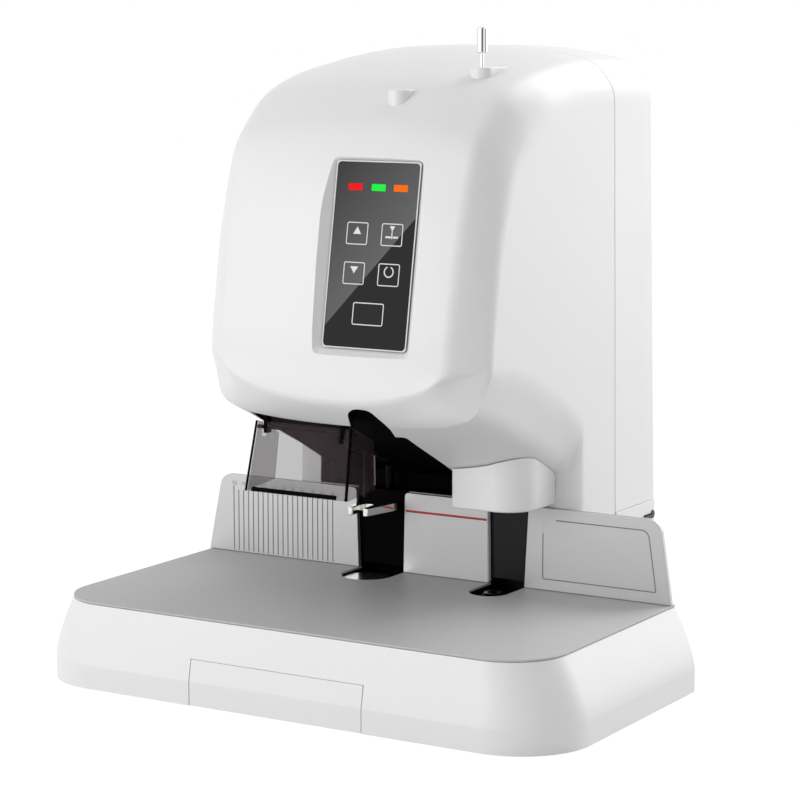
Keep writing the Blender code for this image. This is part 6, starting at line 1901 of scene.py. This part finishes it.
@dataclass
class Electrics:
    """The low rear cover with the switch, the fuse cap, the inlet and the transformer."""

    switch_y: float = STATION_Y + 0.1437
    switch_z: float = 0.0975
    fuse_y: float = STATION_Y + 0.1535
    fuse_z: float = 0.107
    inlet: tuple[float, float] = (0.060, 0.048)
    inlet_half: tuple[float, float] = (0.01405, 0.01005)
    switch_hole: tuple[float, float] = (0.0066, 0.0106)
    rocker_half: tuple[float, float] = (0.0063, 0.0098)
    rocker_depth: float = 0.0055
    fuse_hole: float = 0.0035
    fuse_radius: float = 0.0032
    fuse_out: float = 0.0009
    fuse_depth: float = 0.0065

    def build(self, head: Head) -> None:
        """Build the switch, the cap and the inlet, and dress the rest."""
        half = float(head.side_x(np.array(SEAM_Y), head.split_z / 2))
        self.low_cover(head, half)
        self.switch(half)
        out, deep, r = half + self.fuse_out, half - self.fuse_depth, self.fuse_radius
        cap = rounded([(0, out, 0), (r, out, 0.0008), (r, deep, 0.0003), (0, deep, 0)], 5, closed=False)
        add_piece(lathe("fuse_cap_turned", cap, (0, self.fuse_y, self.fuse_z), 32, across=True), BLACK_SATIN,
                  "machine", "black_satin", "fuse_cap")
        dress_node("power_inlet", BLACK_SATIN)
        dress_node("transformer", TAPE)

    def low_cover(self, head: Head, half: float) -> None:
        """Build the low cover: a wall round three sides with holes for the fittings.

        Args:
            head: the head, for the seam and the heights.
            half: half the cover's width.
        """
        start = SEAM_Y + head.seam_gap
        r = head.rear_edge
        outer = rounded([(half, start, 0), (half, REAR_Y, r), (-half, REAR_Y, r), (-half, start, 0),
                         (-half + WALL, start, 0), (-half + WALL, REAR_Y - WALL, 0.0006),
                         (half - WALL, REAR_Y - WALL, 0.0006), (half - WALL, start, 0)], 6)
        wall = slab("low_cover_wall", outer, head.foot_z, head.split_z, 0.0004)
        (ix, iz), (wide, tall) = self.inlet, self.inlet_half
        inlet = box("inlet_hole", (ix - wide, REAR_Y - WALL * 2, iz - tall),
                    (ix + wide, REAR_Y + OVERRUN, iz + tall))
        deep, tall = self.switch_hole
        switch = box("switch_hole", (half - WALL * 2, self.switch_y - deep, self.switch_z - tall),
                     (half + OVERRUN, self.switch_y + deep, self.switch_z + tall))
        fuse = pin("fuse_hole", self.fuse_hole, half - 0.009, half + 0.009, (0, self.fuse_y, self.fuse_z), 32,
                   across=True)
        add_piece(shape_with(wall, (Work.CUT, inlet), (Work.CUT, switch), (Work.CUT, fuse)), WHITE_SHELL,
                  "machine", "white_plastic", "rear_base_cover")

    def switch(self, half: float) -> None:
        """Build the rocker: a face with a shallow valley, carried along the front-back axis.

        With h as the height from the middle as a share of half the rocker's height, the
        face stands out by 1.6 mm less 1.1 mm times (1 - h to the power 1.5).

        Args:
            half: half the cover's width.
        """
        width, tall = self.rocker_half
        z = np.linspace(-tall, tall, 17)
        face = half + 0.0016 - 0.0011 * (1 - (np.abs(z) / tall) ** 1.5)
        back = half - self.rocker_depth
        outline = np.vstack([np.column_stack([face, self.switch_z + z]),
                             [(back, self.switch_z + tall), (back, self.switch_z - tall)]])
        rocker = slab("switch_rocker", outline, self.switch_y - width, self.switch_y + width, 0.0003,
                      Plane.FRONT)
        add_piece(rocker, BLACK_SATIN, "switch", "black_satin", "power_switch")


@dataclass
class Works:
    """The frame, screws, motors and carriages inside the covers."""

    rod_y: float = STATION_Y + 0.065
    low: float = 0.1483
    high: float = 0.423
    screw_radius: float = 0.0045
    pitch: float = 0.008
    starts: int = 4
    thread_depth: float = 0.0006
    rows: int = 700
    sides: int = 20

    def screw(self, name: str, x: float) -> bpy.types.Mesh:
        """Build a lead screw: the radius dips by a rounded wave along the helix.

        With phase p = height / lead - turn / 2 pi times the starts, the radius is the
        full radius less the thread depth times (0.5 - 0.5 cos 2 pi p) squared.

        Args:
            name: the mesh's name.
            x: the screw's place across.

        Returns:
            A closed screw.
        """
        height = np.linspace(self.low, self.high, self.rows)[:, None]
        turn = np.linspace(0, 2 * math.pi, self.sides, endpoint=False)[None]
        phase = (height / self.pitch) * self.starts - turn / (2 * math.pi) * self.starts
        radius = self.screw_radius - self.thread_depth * (0.5 - 0.5 * np.cos(2 * math.pi * phase)) ** 2
        points = np.stack([x + radius * np.cos(turn), self.rod_y + radius * np.sin(turn),
                           np.repeat(height, self.sides, axis=1)], axis=-1)
        return make_mesh(name, points, capped_faces(self.rows, self.sides))

    def build(self) -> None:
        """Build the screws, and dress the frame, the motors and the carriages."""
        for name, x in (("drill", DRILL_X), ("press", RIVET_X)):
            add_piece(self.screw(name + "_thread", x), SCREW_STEEL, name + "_screw_body", "screw_steel",
                      name + "_screw", sharp=60)
            dress_node(name + "_lift_motor", MOTOR_PAINT)
            dress_node(name + "_carriage", CAST)
        for name in ("column_left", "column_right", "top_bridge", "lower_bracket"):
            dress_node(name, ZINC)
        for name in ("drill_rod_left", "drill_rod_right", "press_rod_left", "press_rod_right"):
            dress_node(name, GROUND_STEEL)
        dress_node("drill_motor", MOTOR_PAINT)
        dress_node("drive_belt", BELT)
        dress_node("motor_pulley", CAST)
        # Painted shade: the spindle, the bit and the upper die get the near-black steel so they read as the
        # shade round them.
        for name in ("drill_spindle", "hollow_drill_bit", "upper_rivet_die"):
            dress_node(name, DARK_STEEL_AND_SHADE)


@dataclass
class Studio:
    """The camera, the floor, the lights and the white surround."""

    eye: tuple[float, float, float] = (1.0288, -1.7074, 0.5041)
    bearing: float = 31.113
    pitch: float = 8.339
    lens: float = 117.54
    surround: float = 0.57
    doors: tuple[float, float] = (0.336, 0.570)
    door_shade: float = 0.9
    floor_half: float = 6.0
    floor_glow: float = 1.08
    glow_share: float = 0.93
    lamp_size: float = 1.6
    aim: tuple[float, float, float] = (0, 0, 0.25)
    lamps: tuple[tuple[str, tuple[float, float, float], float], ...] = (
        ("front_light", (-1.348, -2.157, 0.79), 30.0),
        ("side_light", (1.459, 2.083, 0.79), 18.5),
        ("top_light", (0.5155, 1.924, 1.92), 36.0))

    def camera(self) -> None:
        """Place the camera at the photograph's viewpoint."""
        data = bpy.data.cameras.new("camera")
        data.sensor_width = 36.0
        data.lens = self.lens
        data.clip_end = 50.0
        obj = bpy.data.objects.new("camera", data)
        obj.location = self.eye
        obj.rotation_euler = (math.radians(90 - self.pitch), 0, math.radians(self.bearing))
        bpy.context.scene.collection.objects.link(obj)
        bpy.context.scene.camera = obj

    def white_where_seen(self, bench: Bench) -> Signal:
        """Return 1 for rays from the camera, a mirror or a clear pane, and 0 for the rest."""
        seen = bench.ray("Camera") + bench.ray("Transmission") + bench.ray("Glossy")
        return bench.maths("MINIMUM", seen, 1.0)

    def world(self) -> None:
        """Light from all round at a plain level, and white where it is seen.

        Metal also mirrors two dark doorways of the room, behind the camera and to its
        right: the direction's share of a full turn is compared with each doorway's.
        """
        bench = Bench("surround", world=True)
        around = bench.node("ShaderNodeTexGradient", {"gradient_type": "RADIAL"},
                            Vector=bench.node("ShaderNodeTexCoord").outputs["Generated"])
        level = self.surround + (1 - self.surround) * self.white_where_seen(bench)
        for door in self.doors:
            away = bench.maths("ABSOLUTE", Signal(bench, around.outputs[1]) - door)
            dark = bench.fit(away, 0.03, 0.06, self.door_shade, 0.0)
            level = level * (1 - bench.ray("Glossy") * dark)
        bench.give(Color=(1.0, 1.0, 1.0), Strength=level)
        bpy.context.scene.world = bench.material

    def floor(self) -> None:
        """Lay a wide pale floor that shows white and keeps a faint shadow."""
        side = self.floor_half
        points = np.array([(-side, -side, 0), (side, -side, 0), (side, side, 0), (-side, side, 0)])
        obj = rough_object(make_mesh("floor", points, [(0, 1, 2, 3)]))
        bench = Bench("pale_floor")
        bench.give(Base_Color=(0.70, 0.70, 0.70), Roughness=0.9)
        glow = bench.node("ShaderNodeEmission", Color=(1.0, 1.0, 1.0), Strength=self.floor_glow)
        mixed = bench.node("ShaderNodeMixShader", Fac=self.white_where_seen(bench) * self.glow_share)
        bench.tree.links.new(bench.shader.outputs[0], mixed.inputs[1])
        bench.tree.links.new(glow.outputs[0], mixed.inputs[2])
        output = next(n for n in bench.tree.nodes if n.type == "OUTPUT_MATERIAL")
        bench.tree.links.new(mixed.outputs[0], output.inputs["Surface"])
        obj.data.materials.append(bench.material)

    def lamp(self, name: str, place: Sequence[float], power: float) -> None:
        """Hang a square soft light.

        Args:
            name: the light's name.
            place: where it hangs.
            power: its power in watts.
        """
        data = bpy.data.lights.new(name, "AREA")
        data.energy = power
        data.size = self.lamp_size
        obj = bpy.data.objects.new(name, data)
        obj.location = place
        obj.rotation_euler = (Vector(self.aim) - Vector(place)).to_track_quat("-Z", "Y").to_euler()
        bpy.context.scene.collection.objects.link(obj)

    def build(self) -> None:
        """Set up the whole studio."""
        self.camera()
        self.world()
        self.floor()
        for name, place, power in self.lamps:
            self.lamp(name, place, power)
        bpy.context.scene.view_settings.view_transform = "Standard"


def main() -> None:
    """Build the studio and every sub-assembly."""
    logging.basicConfig(level=logging.INFO, format="%(name)s %(message)s")
    Studio().build()
    panel, head, base = Panel(), Head(), Base()
    head.build(panel)
    panel.build()
    base.build()
    Wells().build(base)
    Fence().build()
    Mouth().build(head)
    Needle().build()
    Electrics().build(head)
    Works().build()


if __name__ == "__main__":
    main()
